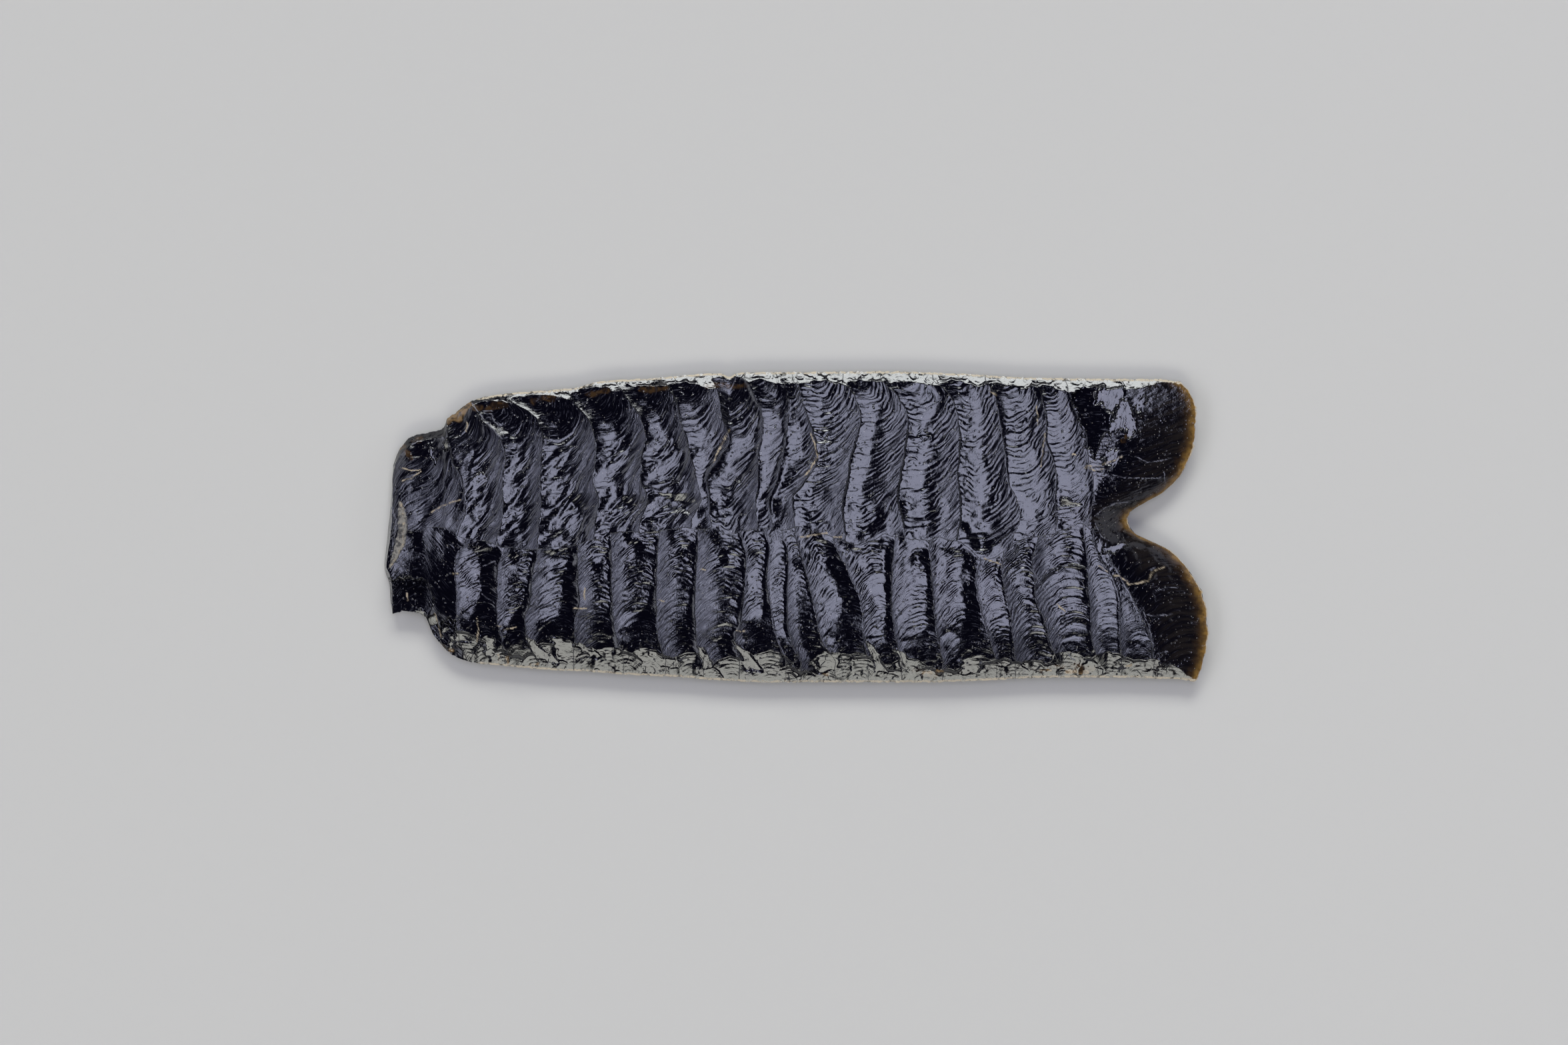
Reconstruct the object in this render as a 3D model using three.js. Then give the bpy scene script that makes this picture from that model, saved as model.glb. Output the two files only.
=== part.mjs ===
import * as THREE from 'three';

// Fishtail knife of volcanic glass: one knapped stone, snapped across at the hafting end.
// +X runs along the blade from the break to the fork, +Y across it, +Z up. Sizes in mm.
// The origin is under the middle of the blade, on the plane that it rests on.

// Driving sizes of the whole blade
const bladeLength = 150;
const bladeWidth = 56.7;
const bladeThickness = 6.2;
const rimHeight = 2.5;            // sharp edge above the plane of the ground patch

// Edge retouch: a steep bevel along both long sides
const upperBevelWidth = 2.4;
const upperBevelRise = 1.45;
const lowerBevelWidth = 4.4;
const lowerBevelRise = 1.6;
const undersideBevelWidth = 3.2;
const undersideBevelRise = 1.25;

// Flaked faces: height above the rim where each face would meet it, and the flake scars
const faceRimRise = 0.95;
const undersideRimRise = 0.8;
const scarDepth = 0.46;
const typicalScarWidth = 8;
const lobeScarDepth = 0.24;
const undersideScarDepth = 0.34;
const groundPatchCut = 0.26;      // how much of the underside's crest is ground flat

// Sandy strip of old surface beside the break
const stripDrop = 0.55;
const stripWidth = 1.9;

// Frame of the readings: pixel columns and rows of the photograph at the blade's extremes
const leftPixel = 575;
const rightPixel = 1815;
const topPixel = 557;
const bottomPixel = 1024;

// Outline readings, as [column, row] along the long edges and [row, column] along the ends
const upperEdgePixels = [
  [590, 698], [596, 681], [604, 667], [615, 656], [634, 650], [656, 646], [666, 640],
  [671, 628], [682, 620], [695, 609], [710, 600], [760, 590], [860, 582], [900, 572],
  [980, 567], [1080, 560], [1094, 565], [1108, 559], [1200, 558], [1330, 557], [1430, 560],
  [1540, 566], [1650, 568], [1745, 569], [1770, 573],
];
const lowerEdgePixels = [
  [589, 921], [606, 918], [626, 920], [638, 927], [650, 952], [659, 964], [670, 976],
  [686, 987], [706, 994], [761, 1000], [819, 1005], [879, 1008], [948, 1013], [1017, 1016],
  [1080, 1021], [1146, 1024], [1310, 1024], [1396, 1024], [1482, 1021], [1580, 1017],
  [1680, 1017], [1767, 1020], [1791, 1022],
];
const forkEdgePixels = [
  [573, 1770], [586, 1785], [597, 1792], [621, 1797], [650, 1797], [680, 1789], [708, 1778],
  [734, 1755], [757, 1720], [768, 1701], [781, 1694], [793, 1699], [804, 1715], [820, 1749],
  [834, 1767], [849, 1782], [863, 1791], [879, 1801], [896, 1808], [918, 1813], [941, 1815],
  [967, 1813], [989, 1810], [1008, 1804], [1018, 1798], [1022, 1791],
];
const breakRimPixels = [
  [698, 590], [741, 591], [780, 590], [815, 586], [850, 582], [862, 587], [885, 589], [921, 589],
];
const breakFootPixels = [
  [698, 590], [741, 586], [780, 582], [815, 578], [850, 575], [878, 583], [900, 585], [921, 589],
];

// Crest between the two rows of scars, as [column, row]
const crestPixels = [
  [575, 800], [650, 792], [700, 808], [755, 820], [810, 824], [860, 818], [905, 802], [960, 796],
  [1040, 795], [1100, 796], [1150, 791], [1200, 796], [1255, 808], [1300, 812], [1345, 798],
  [1400, 811], [1440, 806], [1475, 832], [1510, 822], [1550, 801], [1600, 791], [1640, 790],
  [1694, 781],
];

// Ridges between neighbouring scars: the column of each ridge at the rows of the first list
const upperRidgeRowPixels = [570, 600, 630, 660, 690, 720, 750, 780];
const upperRidgePixels = [
  [664, 666, 669, 673, 678, 694, 698, 700],
  [690, 702, 722, 752, 759, 754, 756, 755],
  [745, 764, 806, 814, 813, 811, 812, 811],
  [843, 858, 882, 892, 893, 889, 898, 894],
  [920, 941, 962, 968, 962, 961, 972, 962],
  [990, 1012, 1019, 1028, 1037, 1045, 1053, 1041],
  [1068, 1079, 1084, 1094, 1078, 1060, 1064, 1056],
  [1116, 1133, 1143, 1141, 1136, 1137, 1134, 1127],
  [1171, 1184, 1182, 1179, 1172, 1165, 1153, 1146],
  [1195, 1201, 1212, 1221, 1226, 1209, 1188, 1186],
  [1264, 1283, 1290, 1284, 1274, 1271, 1263, 1262],
  [1320, 1348, 1361, 1359, 1354, 1348, 1345, 1352],
  [1398, 1427, 1436, 1438, 1436, 1435, 1439, 1440],
  [1477, 1493, 1498, 1503, 1507, 1510, 1523, 1532],
  [1552, 1562, 1568, 1566, 1578, 1583, 1580, 1585],
  [1597, 1605, 1616, 1629, 1630, 1637, 1637, 1632],
];
const lowerRidgeRowPixels = [810, 840, 870, 900, 930, 960, 990];
const lowerRidgePixels = [
  [690, 684, 685, 686, 685, 690, 700],
  [752, 748, 747, 747, 747, 753, 757],
  [801, 802, 799, 797, 788, 792, 806],
  [866, 868, 868, 871, 863, 862, 860],
  [915, 918, 917, 919, 920, 925, 935],
  [985, 986, 985, 985, 985, 988, 998],
  [1048, 1046, 1043, 1042, 1043, 1044, 1055],
  [1121, 1119, 1117, 1115, 1112, 1103, 1108],
  [1158, 1152, 1150, 1154, 1159, 1165, 1178],
  [1184, 1182, 1181, 1180, 1180, 1186, 1200],
  [1196, 1202, 1211, 1218, 1224, 1232, 1252],
  [1253, 1264, 1277, 1289, 1294, 1295, 1302],
  [1348, 1338, 1337, 1336, 1338, 1343, 1352],
  [1386, 1394, 1397, 1399, 1402, 1406, 1413],
  [1454, 1460, 1462, 1466, 1474, 1483, 1494],
  [1486, 1495, 1503, 1509, 1515, 1518, 1522],
  [1545, 1545, 1549, 1552, 1564, 1573, 1584],
  [1626, 1628, 1630, 1632, 1634, 1636, 1646],
  [1637, 1650, 1668, 1676, 1677, 1678, 1681],
  [1646, 1664, 1681, 1698, 1713, 1724, 1729],
];

// Ridges of the fork's two lobes: the row of each ridge at the columns of the first list
const lobeRidgeColumnPixels = [1650, 1680, 1710, 1740, 1770, 1800];
const lobeRidgePixels = [
  [588, 586, 584, 583, 584, 588],
  [640, 634, 631, 631, 626, 618],
  [668, 660, 652, 656, 661, 655],
  [692, 685, 690, 693, 691, 688],
  [711, 717, 719, 717, 715, 712],
  [762, 755, 750, 744, 740, 736],
  [835, 822, 812, 814, 822, 830],
  [862, 869, 876, 853, 844, 838],
  [892, 886, 888, 885, 880, 866],
  [905, 903, 917, 925, 916, 900],
  [950, 948, 950, 962, 958, 950],
  [990, 990, 990, 992, 996, 1000],
];

// Where the thinning towards the fork begins, as [row, column]
const thinningPixels = [[560, 1640], [700, 1640], [790, 1632], [860, 1655], [930, 1690], [1020, 1712]];

// Where the sandy strip lies along the break, as [row, share of its full drop]
const stripShares = [[735, 0], [765, 0.7], [795, 1], [830, 0.8], [862, 0]];

// Places across each half of the face, from the rim to the crest
const rowShares = [0, 0.035, 0.08, 0.14, 0.21, 0.28, 0.36, 0.44, 0.52, 0.6, 0.68, 0.76, 0.84, 0.92, 1];
const columnCount = 84;
const leastColumnsPerScar = 2;
const undersideColumnsPerScar = 6;

// Where each kind of trough is deepest, and how the sections curve
const upperDeepShare = 0.66;
const lowerDeepShare = 0.6;
const lobeDeepShare = 0.5;
const undersideDeepShare = 0.58;
const lensPower = 1.7;
const taperPower = 1.5;
const bulbShare = 1.2;            // depth of a trough near its rim, of its mean depth
const tailShare = 0.8;            // and at its far end
const fadeStartShare = 0.82;      // where a trough starts to run out at the crest
const meetStartShare = 0.75;      // where a column starts to bend to its partner in the other half
const widestScarShare = 1.25;

const xOfPixel = (column) => (column - leftPixel) / (rightPixel - leftPixel) * bladeLength;
const yOfPixel = (row) => (bottomPixel - row) / (bottomPixel - topPixel) * bladeWidth;
const mix = (from, to, share) => from + (to - from) * share;
const clamp = (value) => Math.min(1, Math.max(0, value));

function smoothStep(start, end, value) {
  const share = clamp((value - start) / (end - start));
  return share * share * (3 - 2 * share);
}

// Smooth curve through hand-read points that never swings past them
function curveThrough(points) {
  const last = points.length - 1;
  const rises = points.slice(1).map((point, i) => (point[1] - points[i][1]) / (point[0] - points[i][0]));
  const slopes = points.map((point, i) => {
    if (i === 0) return rises[0];
    if (i === last) return rises[last - 1];
    const before = rises[i - 1];
    const after = rises[i];
    return before * after <= 0 ? 0 : 2 * before * after / (before + after);
  });
  return (at) => {
    if (at <= points[0][0]) return points[0][1];
    if (at >= points[last][0]) return points[last][1];
    let i = 0;
    while (at > points[i + 1][0]) i += 1;
    const span = points[i + 1][0] - points[i][0];
    const t = (at - points[i][0]) / span;
    const ease = t * t * (3 - 2 * t);
    const bend = t * (1 - t) * span * (slopes[i] * (1 - t) - slopes[i + 1] * t);
    return mix(points[i][1], points[i + 1][1], ease) + bend;
  };
}

const upperEdge = curveThrough(upperEdgePixels);
const lowerEdge = curveThrough(lowerEdgePixels);
const forkEdge = curveThrough(forkEdgePixels);
const breakRim = curveThrough(breakRimPixels);
const breakFoot = curveThrough(breakFootPixels);
const crest = curveThrough(crestPixels);
const thinningStart = curveThrough(thinningPixels);
const stripShare = curveThrough(stripShares);
const ridgeCurves = (at, table) => table.map((ridge) => curveThrough(ridge.map((value, i) => [at[i], value])));
const lobeRidges = ridgeCurves(lobeRidgeColumnPixels, lobeRidgePixels);

// One half of the face: its lines from the break to the fork, and the grid column of each
function makeHalf(edge, ridgeRows, ridgeTable, bevelWidth, bevelRise, deepShare) {
  const ridges = ridgeCurves(ridgeRows, ridgeTable);
  const mean = (curve) => ridgeRows.reduce((sum, row) => sum + curve(row), 0) / ridgeRows.length;
  const start = mean(breakRim);
  const end = mean(forkEdge);
  const columns = [0];
  for (const ridge of ridges) {
    const nominal = Math.round((mean(ridge) - start) / (end - start) * columnCount);
    columns.push(Math.max(nominal, columns[columns.length - 1] + leastColumnsPerScar));
  }
  columns.push(columnCount);
  return { edge, bevelWidth, bevelRise, deepShare, lines: [breakRim, ...ridges, forkEdge], columns };
}

const upperHalf = makeHalf(
  upperEdge, upperRidgeRowPixels, upperRidgePixels, upperBevelWidth, upperBevelRise, upperDeepShare);
const lowerHalf = makeHalf(
  lowerEdge, lowerRidgeRowPixels, lowerRidgePixels, lowerBevelWidth, lowerBevelRise, lowerDeepShare);

function scarOf(half, column) {
  let scar = 0;
  while (column > half.columns[scar + 1]) scar += 1;
  const share = (column - half.columns[scar]) / (half.columns[scar + 1] - half.columns[scar]);
  return { scar, share };
}

const columnLine = (half, column, row, firstLine) => {
  const { scar, share } = scarOf(half, column);
  const lines = [firstLine, ...half.lines.slice(1)];
  return mix(lines[scar](row), lines[scar + 1](row), share);
};

// Pixel place of a grid point: its column follows the ridges, its row follows edge and crest
const settleRounds = 12;
function place(half, column, rowShare, firstLine) {
  const other = half === upperHalf ? lowerHalf : upperHalf;
  let row = crest(leftPixel);
  let along = columnLine(half, column, row, firstLine);
  const meet = smoothStep(meetStartShare, 1, rowShare);
  for (let round = 0; round < settleRounds; round += 1) {
    const own = columnLine(half, column, row, firstLine);
    const crestRow = crest(own);
    const shared = mix(own, columnLine(other, column, crestRow, firstLine), 1 / 2);
    along = mix(own, shared, meet);
    row = mix(half.edge(along), crest(along), rowShare);
  }
  return { along, row };
}

// Share of the full depth across a trough: a hollow with sharp ridges at both sides
function hollow(share, deepShare) {
  const reach = share < deepShare ? (deepShare - share) / deepShare : (share - deepShare) / (1 - deepShare);
  return 1 - reach * reach;
}

function lobeHollow(along, row) {
  let above = lobeRidges[0](along);
  for (const ridge of lobeRidges.slice(1)) {
    const below = ridge(along);
    if (row >= above && row <= below) return hollow((row - above) / (below - above), lobeDeepShare);
    above = below;
  }
  return 0;
}

function thinning(along, row) {
  const start = thinningStart(row);
  return 1 - Math.pow(clamp((along - start) / (forkEdge(row) - start)), taperPower);
}

function troughRun(rowShare) {
  return mix(bulbShare, tailShare, rowShare) * (1 - smoothStep(fadeStartShare, 1, rowShare));
}

function lens(rimRise, crestRise, rowShare) {
  return mix(crestRise, rimRise, Math.pow(1 - rowShare, lensPower));
}

function topHeight(half, column, rowShare, at) {
  const { scar, share } = scarOf(half, column);
  const scarWidth = xOfPixel(half.lines[scar + 1](at.row)) - xOfPixel(half.lines[scar](at.row));
  const inLobe = scar === half.lines.length - 2;
  const atBreak = scar === 0;
  const widthShare = Math.min(widestScarShare, Math.abs(scarWidth) / typicalScarWidth);
  let trough = scarDepth * widthShare * hollow(share, half.deepShare) * troughRun(rowShare);
  if (inLobe) trough = lobeScarDepth * lobeHollow(at.along, at.row) * smoothStep(0, 1, share / lobeDeepShare);
  if (atBreak) trough = lobeScarDepth * hollow(share, lobeDeepShare) * troughRun(rowShare);
  const crestRise = bladeThickness - rimHeight;
  const face = (lens(faceRimRise, crestRise, rowShare) - trough) * thinning(at.along, at.row);
  const fromRim = Math.abs(yOfPixel(at.row) - yOfPixel(half.edge(at.along)));
  const bevel = half.bevelRise * fromRim / half.bevelWidth;
  const fromBreak = xOfPixel(at.along) - xOfPixel(breakRim(at.row));
  const stripCut = stripDrop * stripShare(at.row) * clamp(1 - fromBreak / stripWidth);
  return rimHeight + Math.min(bevel, face) * (1 - stripCut / crestRise);
}

function undersideHeight(half, column, rowShare, at) {
  const share = column % undersideColumnsPerScar / undersideColumnsPerScar;
  const trough = undersideScarDepth * hollow(share, undersideDeepShare) * troughRun(rowShare);
  const crestDrop = rimHeight + groundPatchCut;
  const face = (lens(undersideRimRise, crestDrop, rowShare) - trough) * thinning(at.along, at.row);
  const fromRim = Math.abs(yOfPixel(at.row) - yOfPixel(half.edge(at.along)));
  const bevel = undersideBevelRise * fromRim / undersideBevelWidth;
  return Math.max(0, rimHeight - Math.min(bevel, face));
}

function makeBlade() {
  const positions = [];
  const triangles = [];
  const rowsPerHalf = rowShares.length - 1;
  const rowCount = 2 * rowsPerHalf;

  const addPoint = (at, height) => {
    positions.push(xOfPixel(at.along), yOfPixel(at.row), height);
    return positions.length / 3 - 1;
  };
  const addTriangle = (a, b, c) => {
    if (a !== b && b !== c && c !== a) triangles.push(a, b, c);
  };

  const top = [];
  const underside = [];
  for (let column = 0; column <= columnCount; column += 1) {
    top.push([]);
    underside.push([]);
    for (let row = 0; row <= rowCount; row += 1) {
      const half = row <= rowsPerHalf ? upperHalf : lowerHalf;
      const rowShare = rowShares[row <= rowsPerHalf ? row : rowCount - row];
      const onRim = row === 0 || row === rowCount || column === columnCount;
      const at = place(half, column, rowShare, breakRim);
      const height = onRim ? rimHeight : topHeight(half, column, rowShare, at);
      top[column].push(addPoint(at, height));
      if (onRim) {
        underside[column].push(top[column][row]);
      } else {
        const below = place(half, column, rowShare, breakFoot);
        underside[column].push(addPoint(below, undersideHeight(half, column, rowShare, below)));
      }
    }
  }

  for (let column = 0; column < columnCount; column += 1) {
    for (let row = 0; row < rowCount; row += 1) {
      const near = [top[column][row], top[column][row + 1], top[column + 1][row + 1], top[column + 1][row]];
      addTriangle(near[0], near[1], near[2]);
      addTriangle(near[0], near[2], near[3]);
      const far = [underside[column][row], underside[column + 1][row]];
      far.push(underside[column + 1][row + 1], underside[column][row + 1]);
      addTriangle(far[0], far[1], far[2]);
      addTriangle(far[0], far[2], far[3]);
    }
  }

  // The snapped end: a wall from the face's rim down to the wider foot
  for (let row = 0; row < rowCount; row += 1) {
    addTriangle(top[0][row + 1], top[0][row], underside[0][row]);
    addTriangle(top[0][row + 1], underside[0][row], underside[0][row + 1]);
  }

  const geometry = new THREE.BufferGeometry();
  geometry.setAttribute('position', new THREE.Float32BufferAttribute(positions, 3));
  geometry.setIndex(triangles);
  geometry.computeBoundingBox();
  const box = geometry.boundingBox;
  geometry.translate(-(box.min.x + box.max.x) / 2, -(box.min.y + box.max.y) / 2, -box.min.z);
  geometry.computeVertexNormals();
  return geometry;
}

const obsidian = new THREE.MeshStandardMaterial({ color: 0x15141a, roughness: 0.12, metalness: 0 });

const knife = new THREE.Group();
knife.name = 'fishtail_knife';
const blade = new THREE.Mesh(makeBlade(), obsidian);
blade.name = 'blade';
knife.add(blade);

export default knife;
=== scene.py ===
import math
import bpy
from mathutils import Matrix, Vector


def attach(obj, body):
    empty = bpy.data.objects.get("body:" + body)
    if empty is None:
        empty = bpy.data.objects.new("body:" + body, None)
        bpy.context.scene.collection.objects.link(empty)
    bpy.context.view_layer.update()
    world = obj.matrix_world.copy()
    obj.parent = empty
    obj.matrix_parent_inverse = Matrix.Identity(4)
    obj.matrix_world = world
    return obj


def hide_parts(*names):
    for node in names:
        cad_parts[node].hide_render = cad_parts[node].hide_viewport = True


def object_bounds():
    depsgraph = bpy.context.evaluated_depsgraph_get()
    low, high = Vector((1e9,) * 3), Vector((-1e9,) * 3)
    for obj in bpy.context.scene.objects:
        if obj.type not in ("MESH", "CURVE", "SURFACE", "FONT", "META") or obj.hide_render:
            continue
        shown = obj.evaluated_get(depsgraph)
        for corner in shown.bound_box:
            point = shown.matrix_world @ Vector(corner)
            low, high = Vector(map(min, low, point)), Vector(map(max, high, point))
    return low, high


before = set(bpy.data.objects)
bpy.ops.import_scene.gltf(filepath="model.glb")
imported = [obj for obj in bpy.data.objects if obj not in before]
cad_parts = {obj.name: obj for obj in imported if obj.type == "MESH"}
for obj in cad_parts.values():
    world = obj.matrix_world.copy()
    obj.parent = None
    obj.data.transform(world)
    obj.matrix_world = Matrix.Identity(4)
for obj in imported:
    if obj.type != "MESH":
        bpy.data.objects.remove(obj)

from types import SimpleNamespace

import bpy
import numpy as np

# Fishtail knife of volcanic glass. One stone, so one piece: the knapped blade.
# Lengths are in mm until the mesh is written, and in metres from there on.
cadLow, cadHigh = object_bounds()
toMillimetres = 1000
bladeLength = (cadHigh.x - cadLow.x) * toMillimetres
bladeWidth = (cadHigh.y - cadLow.y) * toMillimetres
bladeThickness = (cadHigh.z - cadLow.z) * toMillimetres
print("frame loaded", round(bladeLength, 2), round(bladeWidth, 2), round(bladeThickness, 2))

# Readings, in pixel columns and rows of the photograph, as in the CAD source
readings = {
    "left": 575, "right": 1815, "top": 557, "bottom": 1024,
    "upperEdge": [
        (590, 698), (596, 681), (604, 667), (615, 656), (634, 650), (656, 646), (666, 640),
        (671, 628), (682, 620), (695, 609), (710, 600), (760, 590), (860, 582), (900, 572),
        (980, 567), (1080, 560), (1094, 565), (1108, 559), (1200, 558), (1330, 557), (1430, 560),
        (1540, 566), (1650, 568), (1745, 569), (1770, 573)],
    "lowerEdge": [
        (589, 921), (606, 918), (626, 920), (638, 927), (650, 952), (659, 964), (670, 976),
        (686, 987), (706, 994), (761, 1000), (819, 1005), (879, 1008), (948, 1013), (1017, 1016),
        (1080, 1021), (1146, 1024), (1310, 1024), (1396, 1024), (1482, 1021), (1580, 1017),
        (1680, 1017), (1767, 1020), (1791, 1022)],
    "forkEdge": [
        (573, 1770), (586, 1785), (597, 1792), (621, 1797), (650, 1797), (680, 1789), (708, 1778),
        (734, 1755), (757, 1720), (768, 1701), (781, 1694), (793, 1699), (804, 1715), (820, 1749),
        (834, 1767), (849, 1782), (863, 1791), (879, 1801), (896, 1808), (918, 1813), (941, 1815),
        (967, 1813), (989, 1810), (1008, 1804), (1018, 1798), (1022, 1791)],
    "breakRim": [
        (698, 590), (741, 591), (780, 590), (815, 586), (850, 582), (862, 587), (885, 589),
        (921, 589)],
    "breakFoot": [
        (698, 590), (741, 586), (780, 582), (815, 578), (850, 575), (878, 583), (900, 585),
        (921, 589)],
    "crest": [
        (575, 800), (650, 792), (700, 808), (755, 820), (810, 824), (860, 818), (905, 802),
        (960, 796), (1040, 795), (1100, 796), (1150, 791), (1200, 796), (1255, 808), (1300, 812),
        (1345, 798), (1400, 811), (1440, 806), (1475, 832), (1510, 822), (1550, 801), (1600, 791),
        (1640, 790), (1694, 781)],
    "thinning": [(560, 1640), (700, 1640), (790, 1632), (860, 1655), (930, 1690), (1020, 1712)],
}

# The flaked face: the ridges between its scars, and how deep and where each kind is hollow
flaking = {
    "upperRows": [570, 600, 630, 660, 690, 720, 750, 780],
    "upperRidges": [
        [664, 666, 669, 673, 678, 694, 698, 700],
        [690, 702, 722, 752, 759, 754, 756, 755],
        [745, 764, 806, 814, 813, 811, 812, 811],
        [843, 858, 882, 892, 893, 889, 898, 894],
        [920, 941, 962, 968, 962, 961, 972, 962],
        [990, 1012, 1019, 1028, 1037, 1045, 1053, 1041],
        [1068, 1079, 1084, 1094, 1078, 1060, 1064, 1056],
        [1116, 1133, 1143, 1141, 1136, 1137, 1134, 1127],
        [1171, 1184, 1182, 1179, 1172, 1165, 1153, 1146],
        [1195, 1201, 1212, 1221, 1226, 1209, 1188, 1186],
        [1264, 1283, 1290, 1284, 1274, 1271, 1263, 1262],
        [1320, 1348, 1361, 1359, 1354, 1348, 1345, 1352],
        [1398, 1427, 1436, 1438, 1436, 1435, 1439, 1440],
        [1477, 1493, 1498, 1503, 1507, 1510, 1523, 1532],
        [1552, 1562, 1568, 1566, 1578, 1583, 1580, 1585],
        [1597, 1605, 1616, 1629, 1630, 1637, 1637, 1632]],
    "lowerRows": [810, 840, 870, 900, 930, 960, 990],
    "lowerRidges": [
        [690, 684, 685, 686, 685, 690, 700],
        [752, 748, 747, 747, 747, 753, 757],
        [801, 802, 799, 797, 788, 792, 806],
        [866, 868, 868, 871, 863, 862, 860],
        [915, 918, 917, 919, 920, 925, 935],
        [985, 986, 985, 985, 985, 988, 998],
        [1048, 1046, 1043, 1042, 1043, 1044, 1055],
        [1121, 1119, 1117, 1115, 1112, 1103, 1108],
        [1158, 1152, 1150, 1154, 1159, 1165, 1178],
        [1184, 1182, 1181, 1180, 1180, 1186, 1200],
        [1196, 1202, 1211, 1218, 1224, 1232, 1252],
        [1253, 1264, 1277, 1289, 1294, 1295, 1302],
        [1348, 1338, 1337, 1336, 1338, 1343, 1352],
        [1386, 1394, 1397, 1399, 1402, 1406, 1413],
        [1454, 1460, 1462, 1466, 1474, 1483, 1494],
        [1486, 1495, 1503, 1509, 1515, 1518, 1522],
        [1545, 1545, 1549, 1552, 1564, 1573, 1584],
        [1626, 1628, 1630, 1632, 1634, 1636, 1646],
        [1637, 1650, 1668, 1676, 1677, 1678, 1681],
        [1646, 1664, 1681, 1698, 1713, 1724, 1729]],
    "lobeColumns": [1650, 1680, 1710, 1740, 1770, 1800],
    "lobeRidges": [
        [588, 586, 584, 583, 584, 588],
        [640, 634, 631, 631, 626, 618],
        [668, 660, 652, 656, 661, 655],
        [692, 685, 690, 693, 691, 688],
        [711, 717, 719, 717, 715, 712],
        [762, 755, 750, 744, 740, 736],
        [835, 822, 812, 814, 822, 830],
        [862, 869, 876, 853, 844, 838],
        [892, 886, 888, 885, 880, 866],
        [905, 903, 917, 925, 916, 900],
        [950, 948, 950, 962, 958, 950],
        [990, 990, 990, 992, 996, 1000]],
    "coarseColumns": 84, "leastColumnsPerScar": 2, "undersideColumnsPerScar": 6,
    "lobeScarDepth": 0.24, "undersideScarDepth": 0.34,
    "lobeDeepShare": 0.5, "undersideDeepShare": 0.58,
    "bulbShare": 1.2, "tailShare": 0.8, "fadeStartShare": 0.87, "meetStartShare": 0.8,
    "rimShare": 0.45, "fullDepthShare": 0.25,
    "settleRounds": 12, "firstRow": 800.0,  # a grid point is placed in rounds, from this pixel row on
}

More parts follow.
